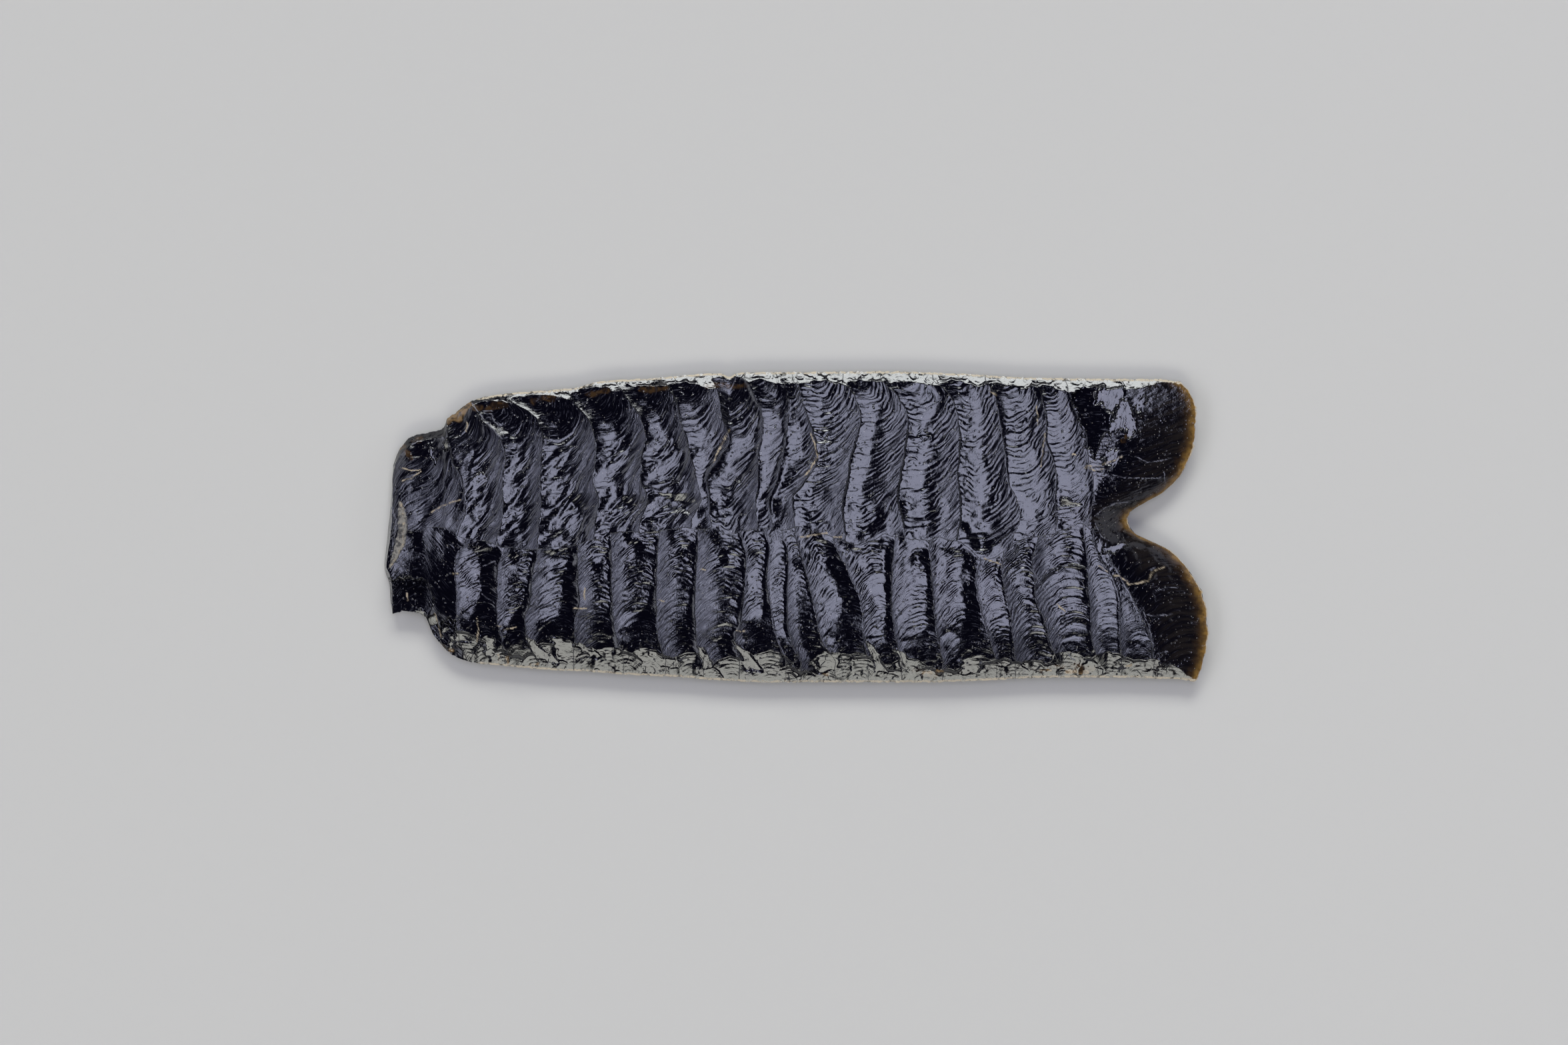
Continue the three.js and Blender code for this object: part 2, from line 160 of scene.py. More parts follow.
# The nearly flat floor of each scar, as (from, to) pixel columns at the floor rows. 0 is no floor at
# that row, and zeros at the end of a list are left out.
# Left of its floor a scar drops from its left ridge, right of it the scar climbs to the next one.
floors = {
    "upperRows": [590, 620, 650, 680, 710, 740, 770],
    "upper": [
        [0, 0, 0, 0, 0, 0, (632, 646)],
        [0, 0, (688, 704), (690, 726), (702, 722), (702, 728), (700, 735)],
        [0, 0, (758, 768), (760, 785), (758, 778), (757, 792), (766, 790)],
        [0, 0, (830, 846), (816, 838), (813, 850), (812, 846), (845, 880)],
        [0, 0, (908, 925), (916, 945), (896, 928), (896, 940), (930, 962)],
        [0, (968, 985), (985, 1003), (1000, 1032), (990, 1030), (970, 1010), (1030, 1045)],
        [0, (1022, 1045), (1028, 1080), (1036, 1082), (1045, 1064), (1048, 1062)],
        [0, (1120, 1138), (1105, 1138), (1105, 1136), (1088, 1112), (1066, 1085), (1075, 1100)],
        [(1146, 1162), (1143, 1165), (1145, 1175), (1145, 1170), (1150, 1160), (1140, 1150)],
        [0, 0, (1183, 1200), (1185, 1203)],
        [(1204, 1242), (1210, 1228), (1219, 1226), 0, 0, (1196, 1212), (1189, 1208)],
        [(1281, 1312), (1289, 1310), (1288, 1306), (1279, 1300), (1273, 1293), (1268, 1284), (1264, 1290)],
        [(1345, 1402), (1358, 1398), (1360, 1380), (1356, 1395), (1351, 1378), (1347, 1374), (1350, 1378)],
        [(1425, 1465), (1434, 1468), (1438, 1462), (1438, 1466), (1436, 1478), (1439, 1478), (1441, 1464)],
        [(1512, 1545), (1513, 1542), (1512, 1540), (1511, 1548), (1514, 1560), (1518, 1572), (1530, 1577)],
        [(1574, 1598), (1571, 1606), (1570, 1610), (1578, 1612), (1585, 1627), (1590, 1632), (1590, 1630)],
        []],
    "lowerRows": [820, 850, 880, 910, 940, 970],
    "lower": [
        [],
        [(686, 714), (694, 725), (694, 724), (690, 712), (688, 696)],
        [(762, 790), (757, 796), (757, 790), (758, 782), (751, 757)],
        [(822, 850), (820, 846), (818, 845), (815, 838)],
        [(880, 912), (888, 916), (893, 918), (898, 913)],
        [(935, 984), (942, 983), (945, 980), (945, 968), (924, 930)],
        [(1005, 1040), (1016, 1040), (1018, 1038), (1015, 1030)],
        [(1076, 1115), (1078, 1114), (1080, 1112), (1086, 1108), (1085, 1100)],
        [(1125, 1150), (1122, 1147), (1122, 1142), (1122, 1140)],
        [(1156, 1180), (1158, 1178), (1155, 1176), (1158, 1176), (1163, 1175)],
        [(1188, 1200), (1190, 1205), (1192, 1213), (1196, 1218)],
        [(1202, 1240), (1208, 1240), (1215, 1250), (1222, 1256), (1228, 1256), (1236, 1250)],
        [(1262, 1334), (1272, 1325), (1284, 1324), (1295, 1328), (1298, 1324)],
        [(1345, 1378), (1340, 1384), (1338, 1388), (1340, 1386), (1343, 1386), (1348, 1362)],
        [(1393, 1438), (1397, 1440), (1399, 1440), (1403, 1445), (1408, 1442), (1411, 1432)],
        [(1462, 1485), (1463, 1490), (1465, 1502), (1471, 1510), (1481, 1513), (1496, 1512)],
        [(1494, 1542), (1506, 1545), (1526, 1549), (1536, 1554), (1545, 1565)],
        [(1572, 1626), (1584, 1629), (1586, 1630), (1588, 1631), (1588, 1628)],
        [(1630, 1645), (1638, 1655), (1640, 1668), (1648, 1673), (1644, 1675), (1652, 1675)],
        [0, (1660, 1668), (1674, 1686), (1680, 1701), (1688, 1713)],
        []],
    # how far the swollen start of each scar reaches in from its edge, in pixels
    "upperBulbs": [60, 78, 76, 74, 72, 56, 50, 84, 34, 44, 26, 32, 28, 34, 30, 32, 20],
    "lowerBulbs": [60, 88, 86, 90, 100, 96, 90, 96, 92, 44, 92, 94, 82, 78, 76, 70, 82, 70, 56, 76, 30],
    "bulbSoftness": 0.9, "deepestBulb": 0.7,
    "upperBulbTilt": [(590, 3.4), (750, 3.4), (800, 6.4), (1080, 6), (1250, 7.5), (1800, 7.5)],
    "lowerBulbTilt": [(590, 1.5), (1800, 1.5)],
    # degrees across a scar: its floor along the blade, beside its left ridge, up to its right one
    "floorTilt": [(590, 7.1), (900, 5.3), (1195, 3.5), (1500, 1.6), (1800, -0.2)],
    "floorTurn": 1.2, "darkTilt": -2.5, "litRamp": (0.1, 0.9), "clearTilt": 6.5, "leastClimb": 1,
    "leftTilt": 14, "steepestLeft": (16, 60), "steepRows": (0.25, 0.4), "steepestRight": 22,
    # shares of a scar's width
    "upperWallShare": 0.02, "lowerWallShare": 0.07, "turnShare": 0.15, "leastShare": 0.02,
    "lastStart": 0.9, "lastEnd": 0.94, "leastRun": 1e-6, "ragged": 0.055, "startNotch": 0.5,
    "notches": {"shortNotch": (3.1, 5.3), "longNotch": (1, 2.7)},  # how far the noise shifts per scar
    "narrowShare": 0.6, "narrowTo": (1050, 1200),  # upper floors are narrower left of these columns
}

# Waves that the blow left on a scar: rings round the struck point, bent up beside the steep flank
waves = {
    "crestWander": 9, "upperBend": 46, "upperBendFrom": 0.3, "upperBendPower": 1.8,
    "lowerBend": 46, "lowerBendPower": 2.2, "lowerRightBend": 16, "lowerRightBendPower": 3,
    "fullBendWidth": 8, "seed": 11, "length": 0.9, "lengthRange": (0.8, 1.25), "fallShare": 0.36,
    "wander": 0.5, "shortWander": 0.3, "patchiness": (0.2, 1.2), "patchyRamp": (-0.5, 0.5),
    "scarShift": 13.7,  # keeps the noises of neighbouring scars apart
    # degrees of a ripple's steep side: on a floor, on a flank, in the lower row, where the rows meet
    "floorTilt": 10, "flankTilt": 17, "lowerTilt": 13, "crestTilt": 19, "upperCrestShare": 0.7,
    "flankRamp": (-0.1, 0.25), "upperCrestRows": (0.75, 0.95), "lowerCrestRows": (0.45, 0.85),
    # the ripples are calmer on the left of the upper row, near the lower rim and beside lower floors
    "leftCalm": (0.15, 0.85), "leftCalmRows": (0.28, 0.5), "leftCalmTo": (1100, 1250),
    "leftFlankCalm": 0.4, "leftFlankRamp": (-0.1, 0.15), "rimCalm": 0.15, "rimCalmRows": (0.25, 0.5),
    "gapCalm": (0.12, 0.4), "gapCalmTo": (1150, 1350), "gapRamp": (-0.04, 0.04),
    "lobeCalm": 0.75, "lobeFrom": (1640, 1680),
    # the long swell and the patches on the left of the upper row
    "swellLength": 4.6, "swellHeight": 0.04, "swellPhases": 3, "patchLean": 0.9, "patchHeight": 0.115,
    "swellTo": (950, 1250), "swellRows": (0.28, 0.5),
    "meetHeight": 0.13, "meetRows": (0.62, 0.85), "meetRight": 0.7, "meetRightFrom": (1300, 1480),
    "roughHeight": 0.02, "leastRough": 0.15, "calmEdgeRows": (0, 0.05),
}

# Where the glass is frosted with hackles, with a painted grey sheen over the frosting that is strongest at
# the break end and weaker towards the fork: shares of the flank, rows and columns
frostingAndSheen = {
    "flankRamp": (0.1, 0.9), "rows": (0.12, 0.35), "strength": (1.2, 0.25), "weakerFrom": (1150, 1350),
    "left": 0.18, "leftTo": (1050, 1250), "lowerRamp": (0.45, 1.1), "leastStart": 0.12,
    "endFrom": (680, 700), "endTo": 795, "endRamp": (-0.7, 0.4),
}

# Smooth noises: length of a cell in both directions, shift in both, and seed
noises = {
    "crest": (21, 1, 0, 0.5, 51), "shortNotch": (0.55, 1, 0, 0, 41), "longNotch": (2.4, 1, 0, 0, 42),
    "wander": (1.9, 1.6, 0, 0, 3), "shortWander": (0.8, 0.9, 0, 0, 9), "patchy": (2.2, 1.7, 0, 0, 4),
    "patch": (1.5, 4, 0, 0, 12), "meeting": (1.9, 1.9, 40, 40, 13), "rough": (0.4, 1.6, 0, 0, 7),
    "endFrost": (1, 2, 0, 0, 43), "facetEdge": (0.4, 2.2, 50, 50, 21),
    "facetStreak": (0.4, 2.2, 90, 90, 22), "shiftAlong": (0.9, 0.9, 20, 20, 31),
    "shiftAcross": (0.9, 0.9, 60, 60, 32), "rimBite": (0.5, 1, 9, 0, 33),
    "fineRimBite": (0.5 / 2.7, 1, 9, 0, 34), "forkBite": (0.5, 1, 9, 0, 35),
    "longForkBite": (1.3, 1, 9, 0, 36), "markingEdge": (2, 2, 70, 70, 23),
    "markingGap": (0.5, 0.5, 30, 30, 24),
}

# Small flakes nibbled off along both long rims, large ones and fine ones over them:
# pitch and reach in mm, slopes as rise over run
nibbling = {
    "upper": [
        {"pitch": (1.2, 3.2), "slope": (0.47, 0.6), "reach": (1.2, 3.2)},
        {"pitch": (0.6, 1.7), "slope": (0.4, 0.55), "reach": (0.4, 1.3)}],
    "lower": [
        {"pitch": (1.4, 4.4), "slope": (0.33, 0.4), "reach": (1.6, 5.5)},
        {"pitch": (1.0, 2.8), "slope": (0.31, 0.4), "reach": (0.6, 2.4)}],
    "seed": 5, "overrun": (-1.0, 2), "widthInPitches": 1.5, "dish": 0.08, "lean": 0.06, "dishFrom": 0.8,
    "endRise": 1.6, "endPower": 1.5, "ringHeight": 0.012, "ringLength": 0.62, "ringPhase": (0, 6),
    "ringFrom": (0.3, 1.6),
    # the upper bevel is steeper beside the nose; the snapped end has no lower bevel and no crushed rim
    "noseSteeper": 1.7, "noseTo": (690, 800), "snappedSlope": 8, "snappedRise": 2, "snappedTo": (636, 650),
    "uncrushedShift": 2, "uncrushedTo": (685, 725),
}

# Small shifts that make every line ragged, and notches bitten into the outline, in mm
wobble = {
    "shift": 0.13, "fromEdge": (0, 1.5), "fromBreak": (1, 3),
    "bite": 0.2, "biteReach": 0.5, "biteFromBreak": (1, 4), "biteFromCorner": (0, 1),
}

# Facets cut on their own: their tilts are degrees towards the fork, from the tilt of a lit floor, and
# towards the lower rim. A shape is its kind, its streaks (degrees, direction) and its outline in pixels
facets = {
    "margin": 1, "soft": 0.1, "sink": 0.04,
    "ragged": {"window": 0.8, "black": 0.45, "pale": 0.45, "hollow": 0.45},
    "tilts": {"window": (0, 1), "black": (-9, 4), "pale": (-3.5, 21), "hollow": (-9.5, -4)},
    "proud": 0.45,  # mm that a facet may stand over the face it is cut from
    "shapes": [
        # left corner below the break, black to its edge, and its small grey flakes
        ("black", (3, 60), [
            (588, 868), (640, 868), (652, 900), (640, 930), (624, 920), (604, 919), (586, 924)]),
        ("pale", (3, 0), [(622, 916), (632, 913), (638, 918), (640, 928), (624, 922)]),
        ("pale", (9, 75), [(641, 925), (652, 922), (658, 946), (662, 962), (650, 950)]),
        ("black", (3, 60), [(663, 935), (676, 925), (686, 932), (680, 960), (672, 972), (662, 962)]),
        ("pale", (3, 0), [(661, 945), (674, 934), (670, 944), (664, 956)]),
        ("pale", (2, 0), [(672, 975), (676, 955), (684, 948), (681, 962), (680, 976)]),
        ("pale", (2, 0), [(683, 945), (692, 950), (704, 958), (706, 961), (686, 960)]),
        ("pale", (3, 0), [(728, 955), (742, 953), (744, 970), (738, 983), (728, 984)]),
        # pale flakes that reach in from the lower bevel
        ("pale", (8, -60), [(792, 956), (800, 958), (842, 992), (836, 1000), (806, 986)]),
        ("pale", (3, 0), [(830, 958), (858, 962), (856, 980), (840, 984)]),
        ("pale", (10, -50), [(862, 966), (874, 964), (902, 984), (896, 990)]),
        ("pale", (8, -55), [(1046, 968), (1056, 970), (1070, 1000), (1058, 1000)]),
        ("pale", (9, -50), [(1096, 958), (1106, 962), (1142, 1004), (1120, 1004)]),
        ("pale", (3, 0), [(1226, 992), (1238, 976), (1258, 980), (1256, 1006), (1228, 1010)]),
        ("pale", (10, -55), [(1298, 960), (1308, 964), (1332, 1008), (1314, 1008)]),
        ("pale", (9, -60), [(1346, 972), (1358, 976), (1366, 1008), (1350, 1008)]),
        ("pale", (3, 0), [(1440, 994), (1452, 988), (1468, 992), (1468, 1010), (1440, 1010)]),
        ("pale", (3, 0), [(1624, 994), (1634, 989), (1642, 996), (1640, 1004), (1626, 1004)]),
        ("pale", (3, 0), [(1716, 990), (1728, 984), (1738, 990), (1736, 1004), (1718, 1004)]),
        # the black hollow and the fans in the upper lobe
        ("hollow", (3, 60), [
            (1606, 596), (1624, 584), (1640, 578), (1650, 582), (1640, 592), (1648, 612), (1666, 622),
            (1656, 650), (1640, 690), (1628, 670), (1618, 636)]),
        ("window", (10, 65), [
            (1640, 590), (1650, 582), (1662, 590), (1684, 580), (1690, 600), (1672, 618), (1660, 618),
            (1644, 606)]),
        ("window", (10, 80), [
            (1672, 618), (1684, 604), (1694, 612), (1702, 640), (1696, 658), (1688, 646), (1664, 652),
            (1658, 648)]),
        ("window", (12, 55), [(1700, 610), (1716, 592), (1720, 604), (1712, 620), (1702, 622)]),
        ("window", (12, 35), [(1652, 690), (1668, 672), (1680, 680), (1672, 694), (1660, 702)]),
        ("window", (12, 20), [(1648, 828), (1650, 820), (1680, 814), (1690, 818), (1672, 828)]),
        # leaves beside the nose
        ("window", (8, 100), [(644, 678), (650, 668), (654, 680), (656, 694), (652, 690)]),
        ("pale", (2, 100), [(666, 664), (671, 661), (673, 668), (670, 676)]),
        ("window", (12, 40), [(708, 738), (712, 722), (728, 714), (736, 722), (722, 738)]),
        # the crescent at the crest
        ("pale", (3, 0), [(1588, 754), (1594, 749), (1606, 750), (1624, 758), (1610, 759), (1592, 758)]),
        ("pale", (2, 0), [(1264, 826), (1268, 822), (1288, 822), (1292, 826)]),
    ],
}

# Lines and stains: width in pixels, then the run of each. The pale lines are painted highlight, lavender
# glints along hairlines and ridges
markings = {
    "tan": {"color": (0.36, 0.29, 0.19), "runs": [
        (3, [(603, 754), (607, 764), (609, 790), (606, 815), (598, 835), (588, 850)]),
        (1.6, [(650, 769), (664, 760), (692, 750)]), (1.5, [(606, 702), (618, 707), (632, 706)]),
        (1.5, [(606, 722), (618, 718), (634, 708)]), (1.6, [(700, 648), (702, 640), (700, 634)]),
        (2, [(654, 920), (658, 935), (661, 955)]), (1.6, [(681, 861), (689, 860)]),
        (1.8, [(747, 938), (754, 938)]), (1.7, [(757, 944), (766, 942), (775, 940)]),
        (1.4, [(718, 926), (719, 945), (716, 962)]), (2, [(611, 890), (612, 900)]),
        (1.8, [(1095, 645), (1082, 668), (1070, 695)]),
        (1.8, [(1215, 650), (1222, 668), (1227, 686), (1216, 703), (1206, 717)]),
        (2.4, [(1485, 589), (1493, 594)]), (1.5, [(1553, 610), (1556, 625), (1555, 640)]),
        (1.5, [(1566, 650), (1560, 700)]), (2.6, [(1608, 683), (1612, 684)]),
        (1.6, [(1625, 703), (1640, 706), (1655, 705)]),
        (1.6, [(1626, 701), (1650, 699), (1662, 694), (1682, 686)]),
        (2.4, [(1668, 862), (1684, 868), (1692, 876), (1704, 875), (1720, 871)]),
        (1.6, [(1720, 871), (1726, 858), (1745, 850)]), (2, [(1475, 838), (1500, 846)]),
        (2, [(862, 912), (880, 912)]), (1.5, [(878, 882), (878, 899)]), (1.8, [(990, 899), (996, 901)]),
        (1.8, [(1105, 945), (1117, 946)]), (1.6, [(1200, 806), (1240, 800)]),
        (1.8, [(1250, 806), (1262, 806)]), (1.8, [(1050, 854), (1058, 854)]),
        (1.5, [(1646, 849), (1660, 857)]), (1.5, [(1584, 906), (1596, 917)]),
        (3, [(1690, 999), (1697, 997)]), (2, [(1750, 738), (1760, 728)])]},
    # painted highlight: pale lavender lines along hairlines and ridges
    "pale": {"color": (0.12, 0.12, 0.145), "runs": [
        (1.6, [(1588, 761), (1600, 760), (1622, 760)]),
        (1.3, [(1665, 712), (1690, 718), (1715, 719), (1740, 717)]),
        (1.3, [(1640, 775), (1655, 762), (1672, 755), (1695, 754)]),
        (1.3, [(1640, 786), (1650, 804), (1662, 812)]),
        (1.3, [(1702, 686), (1720, 694), (1735, 692), (1756, 688)]),
        (1.3, [(1732, 885), (1745, 882), (1766, 880)]), (1.3, [(1730, 890), (1732, 902)]),
        (1.3, [(1720, 922), (1740, 923), (1758, 920)]), (1.3, [(1712, 910), (1722, 940), (1728, 965)]),
        (1.3, [(1745, 708), (1748, 725)]), (1.4, [(1625, 622), (1638, 620)]),
        (1.3, [(1725, 855), (1733, 850)]), (1.3, [(724, 890), (745, 905)]),
        (1.3, [(1255, 905), (1270, 918)]), (1.3, [(1540, 845), (1570, 890)]),
        (1.3, [(726, 848), (744, 842)]), (1.4, [(708, 606), (730, 634), (755, 660)]),
        (1.4, [(738, 623), (756, 655)]), (1.8, [(727, 617), (738, 617)]), (1.8, [(728, 621), (738, 622)]),
        (1.5, [(618, 667), (632, 661)]), (1.5, [(664, 656), (674, 670)]),
        (1.4, [(585, 745), (596, 780), (590, 830)]), (1.4, [(590, 975), (596, 985)]),
        (1.3, [(1736, 980), (1750, 977)]), (1.4, [(1592, 966), (1604, 984), (1612, 988)]),
        (2.2, [(1596, 962), (1606, 960), (1620, 958)])]},
    "amber": {"color": (0.17, 0.105, 0.045), "runs": [
        (13, [(700, 608), (690, 620), (673, 634)]), (5, [(600, 672), (606, 670)]),
        (5, [(590, 690), (594, 682)]), (4, [(761, 985), (762, 996)]), (4, [(674, 976), (680, 976)]),
        (4, [(748, 982), (750, 992)]), (4, [(798, 996), (808, 996)]), (5, [(1600, 1008), (1632, 1008)]),
        (4, [(1560, 1004), (1576, 1006)]), (4, [(1236, 1010), (1242, 1010)]),
        (4, [(1384, 1009), (1396, 1009)]), (4, [(1405, 1006), (1414, 1006)])]},
    "brown": {"color": (0.04, 0.022, 0.01), "runs": [
        (10, [(708, 612), (722, 612)]), (12, [(735, 612), (760, 608)]), (9, [(800, 602), (830, 600)]),
        (8, [(880, 592), (910, 588)]), (8, [(960, 586), (1000, 584)]), (8, [(1060, 582), (1120, 578)]),
        (9, [(620, 662), (634, 658)]), (8, [(610, 678), (618, 690)]), (6, [(1690, 655), (1684, 662)]),
        (9, [(1576, 1000), (1600, 1000)]), (9, [(1610, 1000), (1640, 1002)]),
        (7, [(1550, 1004), (1560, 1008)]), (7, [(660, 968), (668, 972)]),
        (9, [(1375, 1006), (1400, 1010)])]},
}
markingEdges = {"ragged": 0.8, "edgeRamp": (1.3, 0.6), "faint": 0.25, "gapRamp": (-0.4, 0.3)}

# The preform under the scars: rim, lens section, thinning and the ground patch
preform = {
    "rimHeight": 2.5, "faceRimRise": 1.05, "undersideRimRise": 0.8, "groundPatchCut": 0.26,
    "undersideBevelWidth": 3.2, "undersideBevelRise": 1.25,
    "upperLensPower": [(590, 2.4), (1000, 2.2), (1200, 1.7), (1800, 1.6)],
    "lowerLensPower": [(590, 2.8), (1200, 2.9), (1500, 2.6), (1800, 2.4)],
    "crestMargin": 0.06, "undersideLensPower": 1.7, "taperPower": 1.5,
    "stripDrop": 0.75, "stripRipple": 0.06, "stripRipples": 5,
    "strip": [(735, 0), (765, 0.7), (795, 1), (830, 0.8), (862, 0)],
    "sandRows": (752, 852),
    "sandLeft": [(752, 602), (770, 600), (790, 600), (815, 596), (835, 590), (852, 586)],
    "sandRight": [(752, 603), (765, 609), (790, 614), (815, 610), (835, 600), (852, 588)],
}

fineness = {"columns": 924, "topRows": 180, "undersideRows": 22, "sharpAngle": 42}


def mix(low, high, share):
    return low + (high - low) * share


def smoothStep(start, end, value):
    share = np.clip((value - start) / (end - start), 0, 1)
    return share * share * (3 - 2 * share)


def slopeOf(degrees):
    return np.tan(np.radians(degrees))


def curveThrough(points):
    at = np.array([p[0] for p in points], float)
    value = np.array([p[1] for p in points], float)
    rises = np.diff(value) / np.diff(at)
    slopes = np.zeros(len(at))
    slopes[0], slopes[-1] = rises[0], rises[-1]
    before, after = rises[:-1], rises[1:]
    turns = before * after <= 0
    slopes[1:-1] = np.where(turns, 0, 2 * before * after / np.where(turns, 1, before + after))

    def curve(x):
        x = np.clip(x, at[0], at[-1])
        i = np.clip(np.searchsorted(at, x, side="right") - 1, 0, len(at) - 2)
        span = at[i + 1] - at[i]
        t = (x - at[i]) / span
        bend = t * (1 - t) * span * (slopes[i] * (1 - t) - slopes[i + 1] * t)
        return mix(value[i], value[i + 1], t * t * (3 - 2 * t)) + bend
    return curve


def grain(u, v, seed):
    # smooth noise between -1 and 1, one cell per unit
    size = 257
    table = np.random.default_rng(seed).uniform(-1, 1, (size, size))
    i, j = np.floor(u).astype(int), np.floor(v).astype(int)
    s, t = u - i, v - j
    s, t = s * s * (3 - 2 * s), t * t * (3 - 2 * t)
    i, j = i % size, j % size
    iNext, jNext = (i + 1) % size, (j + 1) % size
    return mix(mix(table[i, j], table[iNext, j], s), mix(table[i, jNext], table[iNext, jNext], s), t)


def noiseAt(name, u, v, apart=0):
    lengthU, lengthV, shiftU, shiftV, seed = noises[name]
    return grain(u / lengthU + shiftU + apart, v / lengthV + shiftV, seed)


def ridgeCurves(at, table):
    return [curveThrough(list(zip(at, ridge))) for ridge in table]


upperEdge, lowerEdge, forkEdge, breakRim, breakFoot, crest, thinningStart = [
    curveThrough(readings[name])
    for name in ("upperEdge", "lowerEdge", "forkEdge", "breakRim", "breakFoot", "crest", "thinning")]
stripShare, sandLeft, sandRight = [
    curveThrough(preform[name]) for name in ("strip", "sandLeft", "sandRight")]
floorTilt = curveThrough(floors["floorTilt"])
lobeRidges = ridgeCurves(flaking["lobeColumns"], flaking["lobeRidges"])
pixelSize = bladeLength / (readings["right"] - readings["left"])


def xOfPixel(column):
    return (column - readings["left"]) / (readings["right"] - readings["left"]) * bladeLength


def yOfPixel(row):
    return (readings["bottom"] - row) / (readings["bottom"] - readings["top"]) * bladeWidth


def makeHalf(name, edge):
    ridges = ridgeCurves(flaking[name + "Rows"], flaking[name + "Ridges"])
    at = np.array(flaking[name + "Rows"], float)
    start, end = breakRim(at).mean(), forkEdge(at).mean()
    columns = [0]
    for ridge in ridges:
        nominal = math.floor((ridge(at).mean() - start) / (end - start) * flaking["coarseColumns"] + 0.5)
        columns.append(max(nominal, columns[-1] + flaking["leastColumnsPerScar"]))
    columns.append(flaking["coarseColumns"])
    return {
        "name": name, "edge": edge, "lines": [breakRim, *ridges, forkEdge], "columns": np.array(columns)}


upperHalf = makeHalf("upper", upperEdge)
lowerHalf = makeHalf("lower", lowerEdge)


def scarOf(half, column):
    scar = np.clip(np.searchsorted(half["columns"], column, side="left") - 1, 0, len(half["columns"]) - 2)
    low, high = half["columns"][scar], half["columns"][scar + 1]
    return scar, (column - low) / (high - low)


def columnLine(half, column, row, firstLine):
    scar, share = scarOf(half, column)
    lines = [firstLine, *half["lines"][1:]]
    out = np.empty_like(row)
    for i in range(len(lines) - 1):
        own = scar == i
        out[own] = mix(lines[i](row[own]), lines[i + 1](row[own]), share[own])
    return out


def crestLine(along):
    # the scars of both rows end on a ragged line
    return crest(along) + waves["crestWander"] * noiseAt("crest", along, 0 * along)


def place(half, column, rowShare, firstLine):
    other = lowerHalf if half is upperHalf else upperHalf
    row = np.full_like(column, flaking["firstRow"])
    meet = smoothStep(flaking["meetStartShare"], 1, rowShare)
    for _ in range(flaking["settleRounds"]):
        own = columnLine(half, column, row, firstLine)
        shared = mix(own, columnLine(other, column, crest(own), firstLine), 0.5)
        along = mix(own, shared, meet)
        row = mix(half["edge"](along), crestLine(along), rowShare)
    return along, row


def hollow(share, deepShare):
    before, after = (deepShare - share) / deepShare, (share - deepShare) / (1 - deepShare)
    reach = np.where(share < deepShare, before, after)
    return 1 - reach * reach


def lobeHollow(along, row):
    out = np.zeros_like(along)
    above = lobeRidges[0](along)
    for ridge in lobeRidges[1:]:
        below = ridge(along)
        inside = (row >= above) & (row <= below)
        share = (row - above) / (below - above)
        out = np.where(inside, hollow(share, flaking["lobeDeepShare"]), out)
        above = below
    return out


def thinning(along, row):
    start = thinningStart(row)
    share = np.clip((along - start) / (forkEdge(row) - start), 0, 1)
    return 1 - share ** preform["taperPower"]


def troughRun(rowShare):
    run = mix(flaking["bulbShare"], flaking["tailShare"], rowShare)
    return run * (1 - smoothStep(flaking["fadeStartShare"], 1, rowShare))


def lens(rimRise, crestRise, rowShare, power):
    return mix(crestRise, rimRise, (1 - rowShare) ** power)


def floorShares(half, scar, row):
    # where each scar's floor begins and ends, as shares of its width, and how far the light reaches it
    wall = floors[half["name"] + "WallShare"]
    tableRows = np.array(floors[half["name"] + "Rows"], float)
    start, end, lit = np.zeros_like(row), np.zeros_like(row), np.zeros_like(row)
    for i, floor in enumerate(floors[half["name"]]):
        own = scar == i
        low, high = half["lines"][i](tableRows), half["lines"][i + 1](tableRows)
        found = [k for k, pair in enumerate(floor) if pair]
        if not found:
            start[own] = end[own] = wall
            continue
        shares = []
        for k in range(len(tableRows)):
            near = min(found, key=lambda other: abs(other - k))
            first, last = (np.array(floor[near]) - low[near]) / (high[near] - low[near])
            first = np.clip(first, wall, floors["lastStart"])
            shares.append((first, np.clip(last, first, floors["lastEnd"]), near == k))
        shares = np.array(shares, float)
        for out, column in ((start, 0), (end, 1), (lit, 2)):
            out[own] = np.interp(row[own], tableRows, shares[:, column])
    return start, end, lit


def scarDepth(share, start, end, tilt, climb, steepestLeft):
    # the drop below its ridges, per mm of scar width, added up from its slopes
    turn = floors["floorTurn"]
    left, climb = slopeOf(floors["leftTilt"]), slopeOf(climb)
    floorStart, floorEnd = slopeOf(tilt + turn), slopeOf(tilt - turn)
    foot = end + floors["turnShare"] * (1 - end)
    floorDrop = (end - start) * (floorStart + floorEnd) / 2
    turnRise = (foot - end) * (climb - floorEnd) / 2
    right = 2 * (floorDrop + start * (left + floorStart) / 2 - turnRise) / (1 - foot) - climb
    short = right < climb
    steeper = ((1 - foot) * climb + turnRise - floorDrop) * 2 / start - floorStart
    left = np.where(short, np.clip(steeper, left, slopeOf(steepestLeft)), left)
    right = np.clip(right, climb, slopeOf(floors["steepestRight"]))

    def dropTo(s):
        drop = np.zeros_like(s)
        knots = [(np.zeros_like(s), start, -left, -floorStart), (start, end, -floorStart, -floorEnd),
                 (end, foot, -floorEnd, climb), (foot, np.ones_like(s), climb, right)]
        for low, high, slopeLow, slopeHigh in knots:
            run = np.clip(s - low, 0, high - low)
            length = np.maximum(high - low, floors["leastRun"])
            drop -= run * (slopeLow + (slopeHigh - slopeLow) * run / length / 2)
        return drop
    return dropTo(share) - dropTo(np.ones_like(share)) * share


